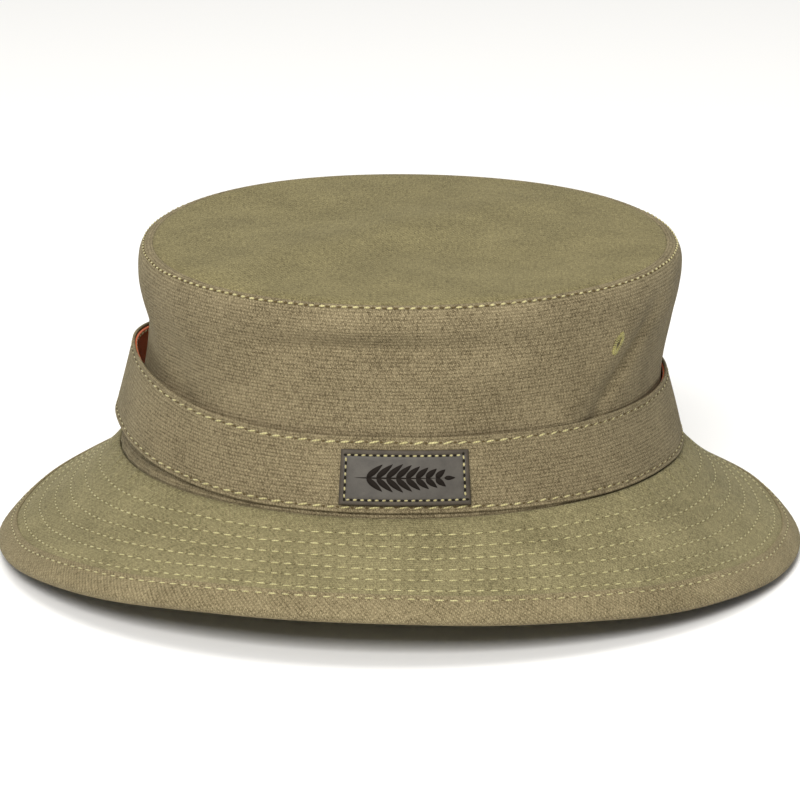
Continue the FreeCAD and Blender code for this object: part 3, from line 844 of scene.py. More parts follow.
@dataclass
class Seamstress:
    """Sews rows: copies of one stitch along a line, with a dark blob of painted shade where the needle goes
    in at each end of a stitch.
    """

    bead: tuple = field(default_factory=stitch_shape)
    slant_spread: float = 2.5
    length_spread: float = 0.07
    width_spread: float = 0.08
    hole_sink: float = 0.05 * MM
    hole_depth: float = 0.22 * MM

    def sew(
        self,
        name: str,
        centres: Array,
        forward: Array,
        upward: Array,
        lengths: Array,
        stitch: Stitch,
        seed: int = 1,
        holes: bool = True,
        shown: float | Array = 1.0,
    ) -> bpy.types.Object:
        """Join stitches into one row.

        Args:
            name: The row's name.
            centres: Middle of each stitch.
            forward: Direction of the row at each stitch.
            upward: Direction out of the cloth at each stitch.
            lengths: Pitch of the row at each stitch.
            stitch: Kind of stitch.
            seed: Start of the row's small differences.
            holes: Whether the dark blobs of painted shade at the needle holes show between the stitches.
            shown: How much of each stitch's thread stands out of the cloth.

        Returns:
            The row, whose second material is for the painted shade at the needle holes.
        """
        shape, faces, lay = self.bead
        random = np.random.default_rng(seed)
        count = len(centres)
        forward = forward / np.linalg.norm(forward, axis=1, keepdims=True)
        upward = upward - forward * (forward * upward).sum(axis=1, keepdims=True)
        upward = upward / np.linalg.norm(upward, axis=1, keepdims=True)
        turn = np.radians(stitch.slant + random.normal(0, self.slant_spread, count))[:, None]
        ahead = forward * np.cos(turn) + np.cross(upward, forward) * np.sin(turn)
        beside = np.cross(upward, ahead)
        shown = np.broadcast_to(shown, (count,))
        long = lengths * stitch.share * random.normal(1, self.length_spread, count) * (0.45 + 0.55 * shown)
        wide = stitch.width * random.normal(1, self.width_spread, count) * (0.5 + 0.5 * shown)
        tall = stitch.height * (0.35 + 0.65 * shown)
        groups = [
            centres[:, None]
            + shape[None, :, 0:1] * long[:, None, None] * ahead[:, None]
            + shape[None, :, 1:2] * wide[:, None, None] * beside[:, None]
            + shape[None, :, 2:3] * tall[:, None, None] * upward[:, None]
        ]
        # painted shade: a small dark blob sunk into the cloth at each needle's entry, where the thread pulls
        # the cloth into shade
        if holes:
            ends = centres + forward * (lengths / 2)[:, None] - upward * self.hole_sink
            across = np.cross(upward, forward)
            groups.append(
                ends[:, None]
                + shape[None, :, 0:1] * stitch.hole_shade[0] * forward[:, None]
                + shape[None, :, 1:2] * stitch.hole_shade[1] * across[:, None]
                + shape[None, :, 2:3] * self.hole_depth * upward[:, None]
            )
        points = np.concatenate([group.reshape(-1, 3) for group in groups])
        copies = count * len(groups)
        every_face = [
            tuple(corner + start for corner in face)
            for start in range(0, copies * len(shape), len(shape))
            for face in faces
        ]
        mesh = bpy.data.meshes.new(name)
        mesh.from_pydata(points, [], every_face)
        uv = mesh.uv_layers.new(name="cloth")
        uv.data.foreach_set("uv", np.tile(lay, (copies, 1)).astype(np.float32).ravel())
        per_group = count * len(faces)
        slots = np.repeat(np.arange(len(groups)), per_group)
        mesh.polygons.foreach_set("material_index", slots.astype(np.int32))
        row = bpy.data.objects.new(name, mesh)
        bpy.context.scene.collection.objects.link(row)
        pick_only(row)
        bpy.ops.object.shade_smooth()
        return row

    def ring(
        self,
        name: str,
        surface: SoftSurface,
        along: float,
        rises: Sequence[float],
        stitch: Stitch,
        seed: int = 1,
        dip: float = 0.0,
        tight: Sequence[tuple[float, float, float]] = (),
    ) -> bpy.types.Object:
        """Sew a row round a surface, at one distance across the cloth.

        Args:
            name: The row's name.
            surface: What the row is sewn through.
            along: Distance across the cloth.
            rises: Height of the thread on each face; one below zero faces inwards.
            stitch: Kind of stitch.
            seed: Start of the row's small differences.
            dip: How much lower the row runs at the back.
            tight: Bearing in degrees, half width in degrees and strength where the thread sinks in.

        Returns:
            The row.
        """
        fine = np.linspace(0, TURN, 1441)
        wander = 0.12 * MM * np.sin(9 * fine + seed) + 0.08 * MM * np.sin(23 * fine + 2 * seed)
        wander = wander - dip * (1 - np.cos(fine)) / 2
        path = surface.middle(fine, along + wander)
        walked = walk(path)
        count = max(2, round(walked[-1] / stitch.pitch))
        step = walked[-1] / count
        centres, forward, upward, shown = [], [], [], []
        for face, rise in enumerate(rises):
            at = np.interp((np.arange(count) + 0.25 + 0.5 * face) * step, walked, fine)
            off = np.interp(at, fine, wander)
            centres.append(surface.place(at, along + off, np.full(count, rise)))
            after, before = (surface.middle(at + turn, along + off) for turn in (0.003, -0.003))
            forward.append(after - before)
            out = surface.normal(at, along + off)
            upward.append(out if rise >= 0 else -out)
            slack = np.ones(count)
            for bearing, spread, strength in tight:
                aside = wrapped(at - math.radians(bearing))
                slack = slack - strength * bell(aside, math.radians(spread))
            shown.append(np.clip(slack, 0, 1))
        groups = (np.concatenate(group) for group in (centres, forward, upward))
        steps = np.full(count * len(rises), step)
        return self.sew(name, *groups, steps, stitch, seed, shown=np.concatenate(shown))

    def line(
        self, name: str, surface: SoftSurface, bearings: Array, alongs: Array, rise: float, stitch: Stitch,
        seed: int = 1,
    ) -> bpy.types.Object:
        """Sew a row along any line on a surface.

        Args:
            name: The row's name.
            surface: What the row is sewn through.
            bearings: Bearings of the line's points.
            alongs: Distances across the cloth of the line's points.
            rise: Height of the thread.
            stitch: Kind of stitch.
            seed: Start of the row's small differences.

        Returns:
            The row.
        """
        path = surface.place(bearings, alongs, np.full(len(bearings), rise))
        walked = walk(path)
        count = max(2, round(walked[-1] / stitch.pitch))
        step = walked[-1] / count
        spots = (np.arange(count) + 0.5) * step
        at = np.interp(spots, walked, bearings)
        off = np.interp(spots, walked, alongs)
        after, before = (
            surface.middle(np.interp(near, walked, bearings), np.interp(near, walked, alongs))
            for near in (spots + 0.3 * MM, spots - 0.3 * MM)
        )
        forward = after - before
        out = surface.normal(at, off)
        centres = surface.place(at, off, np.full(count, rise))
        return self.sew(name, centres, forward, out, np.full(count, step), stitch, seed)


def cloth_patch(
    name: str,
    surface: SoftSurface,
    bearings: tuple[float, float],
    alongs: tuple[float, float],
    low: float,
    high: float,
    steps: tuple[int, int],
    relief: Optional[Relief] = None,
) -> bpy.types.Object:
    """Lay a rectangle of cloth or leather on a surface.

    Args:
        name: The piece's name.
        surface: What it is laid on.
        bearings: First and last bearing.
        alongs: Lowest and highest distance across the cloth below it.
        low: Height of its inner face.
        high: Height of its outer face.
        steps: Squares along and across it.
        relief: Extra height of the outer face for shares, 0 to 1, along and across it.

    Returns:
        The finished closed mesh with its cloth map.
    """
    piece = flat_grid(name, *steps)
    share = (points_of(piece)[:, :2] + 1) / 2
    bearing = bearings[0] + (bearings[1] - bearings[0]) * share[:, 0]
    along = alongs[0] + (alongs[1] - alongs[0]) * share[:, 1]
    extra = 0.0 if relief is None else relief(share[:, 0], share[:, 1])
    move_points(piece, surface.place(bearing, along, high + extra + 0 * along))
    middle = surface.middle(np.array(bearings), np.full(2, float(np.mean(alongs))))
    size = np.array([np.linalg.norm(middle[1] - middle[0]), alongs[1] - alongs[0]])
    map_cloth(piece, share * size)
    thicken(piece, high - low)
    return piece


def map_cloth(piece: bpy.types.Object, spread: Array) -> None:
    """Give a piece a cloth map from one place in the flat cut for each of its points."""
    loops = np.zeros(len(piece.data.loops), int)
    piece.data.loops.foreach_get("vertex_index", loops)
    while len(piece.data.uv_layers) > 1:
        piece.data.uv_layers.remove(piece.data.uv_layers[-1])
    cloth = piece.data.uv_layers[0] if piece.data.uv_layers else piece.data.uv_layers.new()
    cloth.name = "cloth"
    cloth.data.foreach_set("uv", spread[loops].astype(np.float32).ravel())


def thicken(piece: bpy.types.Object, thickness: float) -> None:
    """Give an open sheet its thickness, inwards from the face that it has."""
    pick_only(piece)
    solid = piece.modifiers.new("thickness", "SOLIDIFY")
    solid.thickness = thickness
    solid.offset = -1.0
    solid.use_even_offset = True
    bpy.ops.object.modifier_apply(modifier=solid.name)
    face_out(piece)


def box_of(node: str) -> tuple[Vector, Vector]:
    """Lowest and highest corner of a CAD node."""
    low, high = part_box(node)
    return Vector(low), Vector(high)


@dataclass
class Workroom:
    """The finishes and the sewing that every sub-assembly shares."""

    wardrobe: Wardrobe
    seamstress: Seamstress

    def dress(
        self, piece: bpy.types.Object, body: str, slot: str, nodes: Sequence[str], *finishes: str,
    ) -> None:
        """Finish a piece and join it to the frame.

        Args:
            piece: The piece.
            body: The body that it moves with.
            slot: Not used.
            nodes: The CAD nodes that it stands for.
            finishes: Names of its finishes, one for each of its material indices.
        """
        for finish in finishes:
            piece.data.materials.append(self.wardrobe.get(finish))
        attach(piece, body)
        if nodes:
            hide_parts(*nodes)
        LOG.info("%s: %d faces, rides on %s", piece.name, len(piece.data.polygons), body)

    def dress_row(
        self, row: bpy.types.Object, body: str, node: str, thread: str = "thread", hole_shade: str = "hole_shade",
        slot: str = "thread",
    ) -> None:
        """Finish a row of stitches, with one finish for its thread and one for the painted shade at its
        needle holes.
        """
        self.dress(row, body, slot, [node], thread, hole_shade)


# ---------------------------------------------------------------- crown
@dataclass
class Crown:
    """Side wall, tip, tapes, sweatband and the rows that hold them."""

    surface: CrownSurface
    room: Workroom
    canvas: float = 1.1 * MM
    wall_top: float = 69.2 * MM
    top_row: float = 67.1 * MM
    sweat_height: float = 30.0 * MM
    dome: float = 1.8 * MM
    gap: float = 0.08 * MM
    tape: float = 0.5 * MM
    sweat_cloth: float = 0.9 * MM
    around: int = 560
    rows_up: int = 62
    tip_squares: int = 128

    def wall_relief(self, bearing: Array, along: Array) -> Array:
        """Puckers at the topstitching and the lapped seam at the centre back."""
        pucker = 0.75 + 0.25 * np.cos(160 * bearing)
        stitched = -0.24 * MM * bell(along - self.top_row, 0.8 * MM) * pucker
        gathers = 0.16 * MM * np.sin(47 * bearing + 2 * np.sin(5 * bearing)) * bell(along, 5 * MM)
        back = wrapped(bearing - math.pi) * self.surface.side
        lap = 0.45 * MM * (smooth_step((back + 4.6 * MM) / (0.8 * MM)) - smooth_step(back / (0.9 * MM)))
        return stitched + gathers + lap * smooth_step((self.top_row - along) / (4 * MM))

    def build_wall(self) -> None:
        """Wall of one ply, rolled over at the top; Vents cuts a slit in it at each eyelet later."""
        face = np.concatenate([
            np.linspace(-0.6 * MM, 60 * MM, self.rows_up),
            np.linspace(61 * MM, self.wall_top, 13),
        ])
        wall = cloth_ring("crown_wall_canvas", self.surface, Strip.cut(face, -self.canvas, 0.0),
                          self.around, self.wall_relief)
        self.room.dress(wall, "hat", "khaki_canvas", ["crown_wall"], "wall")
        self.wall = wall

    def tip_height(self, x: Array, y: Array) -> Array:
        """Soft hills and hollows of the tip."""
        across = (x + 0.9 * y) / 1.35
        along = (y - 0.9 * x) / 1.35
        ridge = 1.5 * MM * bell(along - 4 * MM, 16 * MM) * bell(across, 80 * MM)
        hollow = -1.6 * MM * bell(x - 26 * MM, 30 * MM) * bell(y + 34 * MM, 26 * MM)
        far = -1.5 * MM * bell(x + 34 * MM, 30 * MM) * bell(y - 30 * MM, 32 * MM)
        small = 0.22 * MM * np.sin(x / (9 * MM) + 1.3) * np.sin(y / (11 * MM) + 0.4)
        return ridge + hollow + far + small

    def build_tip(self) -> None:
        """Flat oval tip whose edge turns down into its seam."""
        tip = flat_grid("crown_tip_canvas", self.tip_squares, self.tip_squares)
        square = points_of(tip)[:, :2]
        reach = np.abs(square).max(axis=1)
        round_it = square * np.sqrt(1 - 0.5 * square[:, ::-1] ** 2)
        angle = np.arctan2(round_it[:, 0], -round_it[:, 1])
        share = np.minimum(np.hypot(round_it[:, 0], round_it[:, 1]), 1.0)
        share = np.where(reach > 1 - 1e-6, 1.0, share)
        edge = self.surface.middle(angle, np.full(len(angle), self.wall_top - 0.1 * MM))
        centre = np.array([self.surface.lean, 0.0])
        flat = centre + (edge[:, :2] - centre) * share[:, None]
        inset = (1 - share) * self.surface.side
        height = edge[:, 2] * share + edge[:, 2].mean() * (1 - share)
        height = height + 0.5 * MM * (1 - bell(inset, 2.4 * MM))
        height = height + self.tip_height(flat[:, 0], flat[:, 1]) * smooth_step(inset / (9 * MM))
        height = height + self.dome * (1 - share**2) - 0.35 * MM * bell(inset, 0.9 * MM)
        move_points(tip, np.column_stack([flat, height]))
        map_cloth(tip, flat)
        thicken(tip, self.canvas)
        self.room.dress(tip, "hat", "khaki_canvas", ["crown_tip"], "tip")

    def build_rows(self) -> None:
        """Topstitching and the row of the back seam."""
        sew = self.room.seamstress
        row = sew.ring("crown_topstitch_row", self.surface, self.top_row, [0.06 * MM], TOPSTITCH, seed=3,
                       dip=2.0 * MM, tight=[(50, 30, 0.45), (-75, 26, 0.45), (180, 60, 0.5)])
        self.room.dress_row(row, "hat", "crown_topstitching")
        alongs = np.linspace(3 * MM, 63 * MM, 40)
        bearings = np.full(40, math.pi - 2.6 * MM / self.surface.front)
        back = sew.line("crown_back_seam_row", self.surface, bearings, alongs, 0.38 * MM, SEAM_STITCH, seed=4)
        self.room.dress_row(back, "hat", "crown_back_stitching")

    def build_inside(self) -> None:
        """Tapes, sweatband and blank tag, against the wall's inner face."""
        inner = -self.canvas - self.gap
        sew = self.room.seamstress
        tape = cloth_ring("tip_seam_binding_tape", self.surface,
                          Strip.cut(np.linspace(58.5 * MM, 63.5 * MM, 7), inner - self.tape, inner), 280)
        self.room.dress(tape, "hat", "seam_tape", ["tip_seam_tape"], "tape")
        half = 6 * MM / self.surface.front
        back = cloth_patch("back_seam_binding_tape", self.surface, (math.pi - half, math.pi + half),
                           (31 * MM, 58 * MM), inner - self.tape, inner, (10, 24))
        self.room.dress(back, "hat", "seam_tape", ["back_seam_tape"], "tape")
        low = inner - self.sweat_cloth
        face = np.linspace(0.6 * MM, self.sweat_height, 26)
        waves = Handling(31, 0.1 * MM, 30, 0.5)
        sweat = cloth_ring("sweatband_cloth", self.surface, Strip.cut(face, low, inner), 360,
                           lambda bearing, along: -np.abs(waves.rise(bearing, along, self.sweat_height)))
        self.room.dress(sweat, "hat", "sweatband_cotton", ["sweatband"], "sweatband")
        row = sew.ring("sweatband_row", self.surface, self.sweat_height - 2.2 * MM, [low - 0.02 * MM],
                       SEAM_STITCH, seed=5)
        self.room.dress_row(row, "hat", "sweatband_stitching")
        half = 10 * MM / self.surface.front
        tag = cloth_patch("blank_size_tag", self.surface, (math.pi - half, math.pi + half),
                          (1.8 * MM, 14.6 * MM), low - 0.55 * MM, low - 0.1 * MM, (20, 13))
        self.room.dress(tag, "hat", "woven_label", ["size_label"], "tag")

    def build(self) -> None:
        """Make every piece of the crown."""
        self.build_wall()
        self.build_tip()
        self.build_rows()
        self.build_inside()


@dataclass
class Vents:
    """Two worked eyelets, each an oval of dense stitches round a slit in the wall."""

    crown: Crown
    room: Workroom
    level: float = 48.2 * MM
    bearings: tuple[tuple[str, float], ...] = (("left", 48.0), ("right", 228.0))
    half_width: float = 1.25 * MM
    half_length: float = 2.9 * MM
    lean: float = 26.0
    stitches: int = 30
    sides: int = 24

    def spots(self, bearing: float, across: Array, up: Array) -> tuple[Array, Array]:
        """Bearings and cloth distances of points given across and along a leaning eyelet."""
        turn = math.radians(self.lean)
        x = across * math.cos(turn) + up * math.sin(turn)
        y = up * math.cos(turn) - across * math.sin(turn)
        return math.radians(bearing) + x / self.crown.surface.side, self.level + y

    def cut_slit(self, bearing: float) -> None:
        """Cut the eyelet's slit through the wall."""
        surface = self.crown.surface
        turns = np.linspace(0, TURN, self.sides, endpoint=False)
        rim = self.spots(bearing, 0.5 * MM * np.cos(turns), 2.3 * MM * np.sin(turns))
        bpy.ops.object.select_all(action="DESELECT")
        bpy.ops.mesh.primitive_cylinder_add(vertices=self.sides, radius=1.0, depth=2.0)
        cutter = active()
        place = points_of(cutter)
        order = np.round(np.arctan2(place[:, 1], place[:, 0]) / TURN * self.sides).astype(int) % self.sides
        rise = np.where(place[:, 2] > 0, 3 * MM, -4 * MM)
        move_points(cutter, surface.place(rim[0][order], rim[1][order], rise))
        face_out(cutter)
        pick_only(self.crown.wall)
        slit = self.crown.wall.modifiers.new("slit", "BOOLEAN")
        slit.object = cutter
        slit.solver = "EXACT"
        bpy.ops.object.modifier_apply(modifier=slit.name)
        bpy.data.objects.remove(cutter)

    def build(self) -> None:
        """Cut and sew both eyelets."""
        surface = self.crown.surface
        for seed, (side, bearing) in enumerate(self.bearings):
            self.cut_slit(bearing)
            turns = np.linspace(0, TURN, self.stitches, endpoint=False)
            uneven = 1 + 0.17 * np.sin(5 * turns + seed) + 0.12 * np.sin(13 * turns)
            centres, forward, upward = [], [], []
            for rise, out in ((0.12 * MM, 1.0), (-self.crown.canvas - 0.12 * MM, -1.0)):
                near, far = (
                    self.spots(bearing, (self.half_width + more) * np.cos(turns),
                               (self.half_length + more) * np.sin(turns))
                    for more in (0.0, 0.8 * MM)
                )
                centres.append(surface.place(*near, np.full(self.stitches, rise)))
                forward.append(surface.middle(*far) - surface.middle(*near))
                upward.append(surface.normal(*near) * out)
            eyelet = self.room.seamstress.sew(
                f"{side}_eyelet_thread", np.concatenate(centres), np.concatenate(forward),
                np.concatenate(upward), EYELET_STITCH.pitch * np.tile(uneven, 2), EYELET_STITCH, 40 + seed,
                holes=False)
            self.room.dress(eyelet, "hat", "thread", [f"vent_eyelet_{side}"], "knot")


# ---------------------------------------------------------------- brim
@dataclass
class Brim:
    """Two canvas plies quilted over an interlining, with a bias binding round the edge."""

    surface: BrimSurface
    room: Workroom
    core: float = 0.41 * MM
    face: float = 1.26 * MM
    rows: tuple[float, ...] = tuple((8.1 + 5.9 * step) * MM for step in range(6))
    half_pitch: float = 2.95 * MM
    channel: float = 0.26 * MM
    pillow: float = 0.07 * MM
    fold: float = 40.3 * MM
    binding_row: float = 42.3 * MM
    binding: float = 0.66 * MM
    binding_cut: float = 19.6 * MM
    around: int = 704

    def pull(self, row: float, bearing: Array, phase: float = 0.0) -> Array:
        """How far the stitches of a row pull its channel in, from 0.6 to 1."""
        girth = girth_of(self.surface.side, self.surface.front + 1.7 * row)
        return 0.8 + 0.2 * np.cos(round(girth / QUILTING_STITCH.pitch) * bearing + phase)

    def relief(self, bearing: Array, along: Array) -> Array:
        """Quilted channels, puckered by their stitches, and gathers at the seam."""
        total = np.zeros(np.broadcast(bearing, along).shape)
        for number, row in enumerate(self.rows + (self.binding_row,)):
            total -= self.channel * bell(along - row, 0.85 * MM) * self.pull(row, bearing, number)
            total += self.pillow * bell(along - row - self.half_pitch, 1.7 * MM)
        gathers = np.sin(61 * bearing + 3 * np.sin(4 * bearing)) + 0.6 * np.sin(97 * bearing)
        return total + 0.16 * MM * gathers * bell(along - 1 * MM, 4.5 * MM)

    def stations(self, end: float) -> Array:
        """Distances across the brim, close together at each row."""
        offsets = np.array([-1.7, -0.75, 0.0, 0.75, 1.7]) * MM
        near = (np.array(self.rows)[:, None] + offsets).ravel()
        last = np.array([-1.0, -0.4, 0.3, 1.0]) * MM + self.fold
        first = np.linspace(0.35, 5.4, 6) * MM
        every = np.concatenate([first, near, last, np.linspace(self.fold + 2 * MM, end, 6)])
        return np.unique(np.round(every, 6))

    def build_plies(self) -> None:
        """Upper ply, under ply and the interlining between them."""
        end = self.surface.width - 0.4 * MM
        plies = (
            ("brim_upper_canvas", "brim_top_panel", self.core, self.face),
            ("brim_under_canvas", "brim_under_panel", -self.face, -self.core),
        )
        for name, node, low, high in plies:
            ply = cloth_ring(name, self.surface, Strip.cut(self.stations(end), low, high), self.around,
                             self.relief, flat_grain=True)
            self.room.dress(ply, "hat", "khaki_canvas", [node], "brim")
        half = self.core - 0.06 * MM
        inner = cloth_ring("brim_interlining", self.surface,
                           Strip.cut(np.linspace(1 * MM, end - 1 * MM, 12), -half, half), 240, self.relief)
        self.room.dress(inner, "hat", "interlining", ["brim_stiffener"], "hidden")

    def binding_strip(self) -> Strip:
        """Section of the binding: over the edge and back, then the same way inside."""
        edge = self.surface.width
        inside = self.face + 0.05 * MM
        outside = inside + self.binding
        run = np.concatenate([
            np.array([0.0, 0.5, 1.3, 2.0, 2.7, 3.6]) * MM + self.fold,
            np.linspace(self.fold + 5 * MM, edge, 6),
        ])
        swing = np.linspace(0, math.pi, 9)[1:-1]

        out_along, out_rise = edge + 1.25 * MM * np.sin(swing), outside * np.cos(swing)
        in_along, in_rise = edge + 0.6 * MM * np.sin(swing), inside * np.cos(swing)
        low = np.full(len(run), outside)
        low[0] = outside - 0.28 * MM
        high = np.full(len(run), inside)
        along = np.concatenate([run, out_along, run[::-1], run, in_along, run[::-1]])
        rise = np.concatenate([low, out_rise, -low[::-1], -high, -in_rise, high])
        outer = np.concatenate([np.ones(len(run)), np.zeros(len(swing)), -np.ones(len(run)),
                                np.zeros(2 * len(run) + len(swing))])
        steps = np.hypot(np.diff(along, prepend=along[0]), np.diff(rise, prepend=rise[0]))
        return Strip(along, rise, np.cumsum(steps), outer)

    def binding_relief(self, bearing: Array, along: Array) -> Array:
        """Channel along the binding's row and the slight pull of its stitches."""
        pull = self.pull(self.binding_row, bearing)
        channel = -0.22 * MM * bell(along - self.binding_row, 0.8 * MM) * pull
        wave = np.sin(113 * bearing + 2 * np.sin(7 * bearing))
        return channel + 0.07 * MM * wave * bell(along - 45.5 * MM, 3 * MM)

    def build_binding(self) -> None:
        """Bias strip folded over the brim's edge."""
        edge = cloth_ring("brim_binding_canvas", self.surface, self.binding_strip(), self.around,
                          self.binding_relief)
        self.room.dress(edge, "hat", "binding_canvas", ["brim_edge_binding"], "binding")

    def build_rows(self) -> None:
        """Six quilting rows and the binding's row, each seen on both faces."""
        sew = self.room.seamstress
        for number, along in enumerate(self.rows, start=1):
            high = self.face - 0.12 * MM
            row = sew.ring(f"brim_quilting_{number}", self.surface, along, [high, -high], QUILTING_STITCH,
                           seed=10 + number, tight=[(-80, 40, 0.45), (75, 45, 0.5), (180, 60, 0.3)])
            self.room.dress_row(row, "hat", f"brim_stitch_row_{number}", "quilting")
        high = self.face + self.binding - 0.04 * MM
        row = sew.ring("brim_binding_row", self.surface, self.binding_row, [high, -high], QUILTING_STITCH,
                       seed=18, tight=[(-85, 45, 0.5), (75, 45, 0.6)])
        self.room.dress_row(row, "hat", "binding_stitching", "quilting")

    def build(self) -> None:
        """Make every piece of the brim."""
        self.build_plies()
        self.build_binding()
        self.build_rows()


# ---------------------------------------------------------------- band and label
@dataclass
class Band:
    """Loose reversible band: khaki outside, bright lining inside, hemmed at both edges."""

    surface: BandSurface
    room: Workroom
    ply: float = 0.8 * MM
    gap: float = 0.05 * MM
    inset: float = 1.2 * MM
    hem: float = 1.7 * MM
    channel: float = 0.22 * MM
    fold: float = 0.1 * MM
    around: int = 560

    def relief(self, bearing: Array, along: Array) -> Array:
        """Channels at the hem rows, with the folded edge standing a little proud."""
        beat = 0.8 + 0.2 * np.cos(129 * bearing)
        total = np.zeros(np.broadcast(bearing, along).shape)
        for row in (self.hem, self.surface.height - self.hem):
            total -= self.channel * bell(along - row, 0.8 * MM) * beat
        for edge in (0.5 * MM, self.surface.height - 0.5 * MM):
            total += self.fold * bell(along - edge, 0.7 * MM)
        return total

    def build(self) -> None:
        """Make the band's two plies and its rows."""
        height = self.surface.height
        near = np.array([0.3, 0.8, 1.3, 1.7, 2.1, 2.7]) * MM
        face = np.concatenate([near, np.linspace(3.6 * MM, height - 3.6 * MM, 16), (height - near)[::-1]])
        outer = cloth_ring("band_khaki_canvas", self.surface, Strip.cut(face, -self.ply, 0.0), self.around,
                           self.relief)
        self.room.dress(outer, "band", "khaki_canvas", ["band_outer"], "wall")
        high = -self.ply - self.gap
        low = high - self.ply
        inner_face = np.linspace(self.inset, height - self.inset, 18)
        lining = cloth_ring("band_orange_lining", self.surface, Strip.cut(inner_face, low, high), 360)
        self.room.dress(lining, "band", "orange_twill", ["band_lining"], "lining")
        rows = (("bottom", self.hem), ("top", height - self.hem))
        for seed, (edge, along) in enumerate(rows):
            row = self.room.seamstress.ring(f"band_{edge}_hem_row", self.surface, along,
                                            [0.0, low - 0.06 * MM], HEM_STITCH, seed=20 + seed,
                                            tight=[(66, 34, 0.95), (-78, 32, 0.75), (180, 50, 0.4)])
            self.room.dress_row(row, "band", f"band_{edge}_stitching")
        steps = 36
        zigzag = np.where(np.arange(steps) % 2, 1, -1) * 0.8 * MM / self.surface.foot_front
        up = np.linspace(4 * MM, height - 4 * MM, steps)
        bar = self.room.seamstress.line("band_closing_bar", self.surface, math.pi + zigzag, up, 0.08 * MM,
                                        BAR_STITCH, seed=26)
        self.room.dress_row(bar, "band", "band_seam_bartack")


@dataclass
class Label:
    """Small leather patch with a pressed border, a plain leaf sprig and a sewn edge."""

    surface: BandSurface
    room: Workroom
    width: float = 40.0 * MM
    height: float = 17.4 * MM
    shift: float = 1.5 * MM
    foot: float = 2.4 * MM
    under: float = 0.28 * MM
    face: float = 1.4 * MM
    border: float = 1.75 * MM
    groove: float = 0.2 * MM
    rolled: float = 0.35 * MM

    def bearing(self, x: Array) -> Array:
        """Bearing of a place across the label."""
        return (np.asarray(x) + self.shift) / (self.surface.foot_side - 1.5 * MM)

    def relief(self, across: Array, up: Array) -> Array:
        """Pressed border round a slightly raised face."""
        side = np.minimum(across, 1 - across) * self.width
        end = np.minimum(up, 1 - up) * self.height
        near = np.minimum(side, end)
        return -self.groove * bell(near - self.border, 0.55 * MM) - self.rolled * bell(near, 0.35 * MM)

    def build_patch(self) -> None:
        """Leather patch, its border in a darker finish."""
        ends = tuple(float(self.bearing(x)) for x in (-self.width / 2, self.width / 2))
        patch = cloth_patch("label_leather_patch", self.surface, ends, (self.foot, self.foot + self.height),
                            self.under, self.face, (100, 44), self.relief)
        centres = np.zeros(len(patch.data.polygons) * 3)
        patch.data.polygons.foreach_get("center", centres)
        centres = centres.reshape(-1, 3)
        corners = np.array(patch.bound_box)
        inside = np.ones(len(centres), bool)
        for axis in (0, 2):
            low = corners[:, axis].min() + self.border
            high = corners[:, axis].max() - self.border
            inside &= (centres[:, axis] > low) & (centres[:, axis] < high)
        patch.data.polygons.foreach_set("material_index", np.where(inside, 0, 1).astype(np.int32))
        self.room.dress(patch, "band", "label_leather", ["band_label"], "leather", "edge")

    def build_motif(self) -> None:
        """Leaf sprig that lies along the patch."""
        bpy.ops.object.select_all(action="DESELECT")
        blades: list[bpy.types.Object] = []

        def blade(x: float, y: float, length: float, breadth: float, angle: float) -> None:
            bpy.ops.mesh.primitive_circle_add(vertices=20, radius=1.0, fill_type="NGON", location=(0, 0, 0))
            leaf = active()
            points = points_of(leaf)
            taper = 1 - 0.45 * points[:, 0]
            turn = math.radians(angle)
            along = (points[:, 0] + 1) / 2 * length
            aside = points[:, 1] * np.abs(points[:, 1]) ** 0.35 * taper * breadth / 2
            points[:, 0] = x + along * math.cos(turn) - aside * math.sin(turn)
            points[:, 1] = y + along * math.sin(turn) + aside * math.cos(turn)
            move_points(leaf, points)
            blades.append(leaf)

        pairs = 8
        stem = 28 * MM
        blade(-stem / 2, 0.0, stem, 0.5 * MM, 0.0)
        for pair in range(pairs):
            share = (pair + 0.5) / pairs
            length = (7.4 - 3.4 * abs(share - 0.35)) * MM
            start = -stem / 2 + stem * (0.08 + 0.86 * share)
            for side in (1, -1):
                blade(start, side * 0.15 * MM, length * (1 - 0.3 * share), 1.75 * MM, side * 40)
        blade(stem / 2 - 0.6 * MM, 0.0, 3.4 * MM, 1.3 * MM, 0.0)
        bpy.ops.object.select_all(action="DESELECT")
        for leaf in blades:
            leaf.select_set(True)
        bpy.context.view_layer.objects.active = blades[0]
        bpy.ops.object.join()
        motif = named("label_leaf_sprig")
        in_edit_mode(motif, lambda: bpy.ops.mesh.quads_convert_to_tris())
        points = points_of(motif)
        points[:, 0] -= (points[:, 0].min() + points[:, 0].max()) / 2
        bearing = self.bearing(points[:, 0])
        along = self.foot + self.height / 2 + points[:, 1]
        rise = np.full(len(along), self.face + 0.05 * MM)
        move_points(motif, self.surface.place(bearing, along, rise))
        map_cloth(motif, points[:, :2])
        thicken(motif, 0.09 * MM)
        self.room.dress(motif, "band", "label_leather", [], "motif")

    def build_row(self) -> None:
        """Stitches round the patch, in its pressed border."""
        wide = self.width / 2 - self.border
        tall = self.height / 2 - self.border
        corners = np.array([(-wide, -tall), (wide, -tall), (wide, tall), (-wide, tall), (-wide, -tall)])
        walked = walk(corners)
        fine = np.linspace(0, walked[-1], 600)
        x = np.interp(fine, walked, corners[:, 0])
        y = np.interp(fine, walked, corners[:, 1])
        row = self.room.seamstress.line("label_border_row", self.surface, self.bearing(x),
                                        self.foot + self.height / 2 + y, self.face - 0.02 * MM, LABEL_STITCH,
                                        seed=30)
        self.room.dress_row(row, "band", "band_label_stitching", "thread", "label_hole_shade", "label_thread")

    def build(self) -> None:
        """Make the patch, its motif and its row."""
        self.build_patch()
        self.build_motif()
        self.build_row()


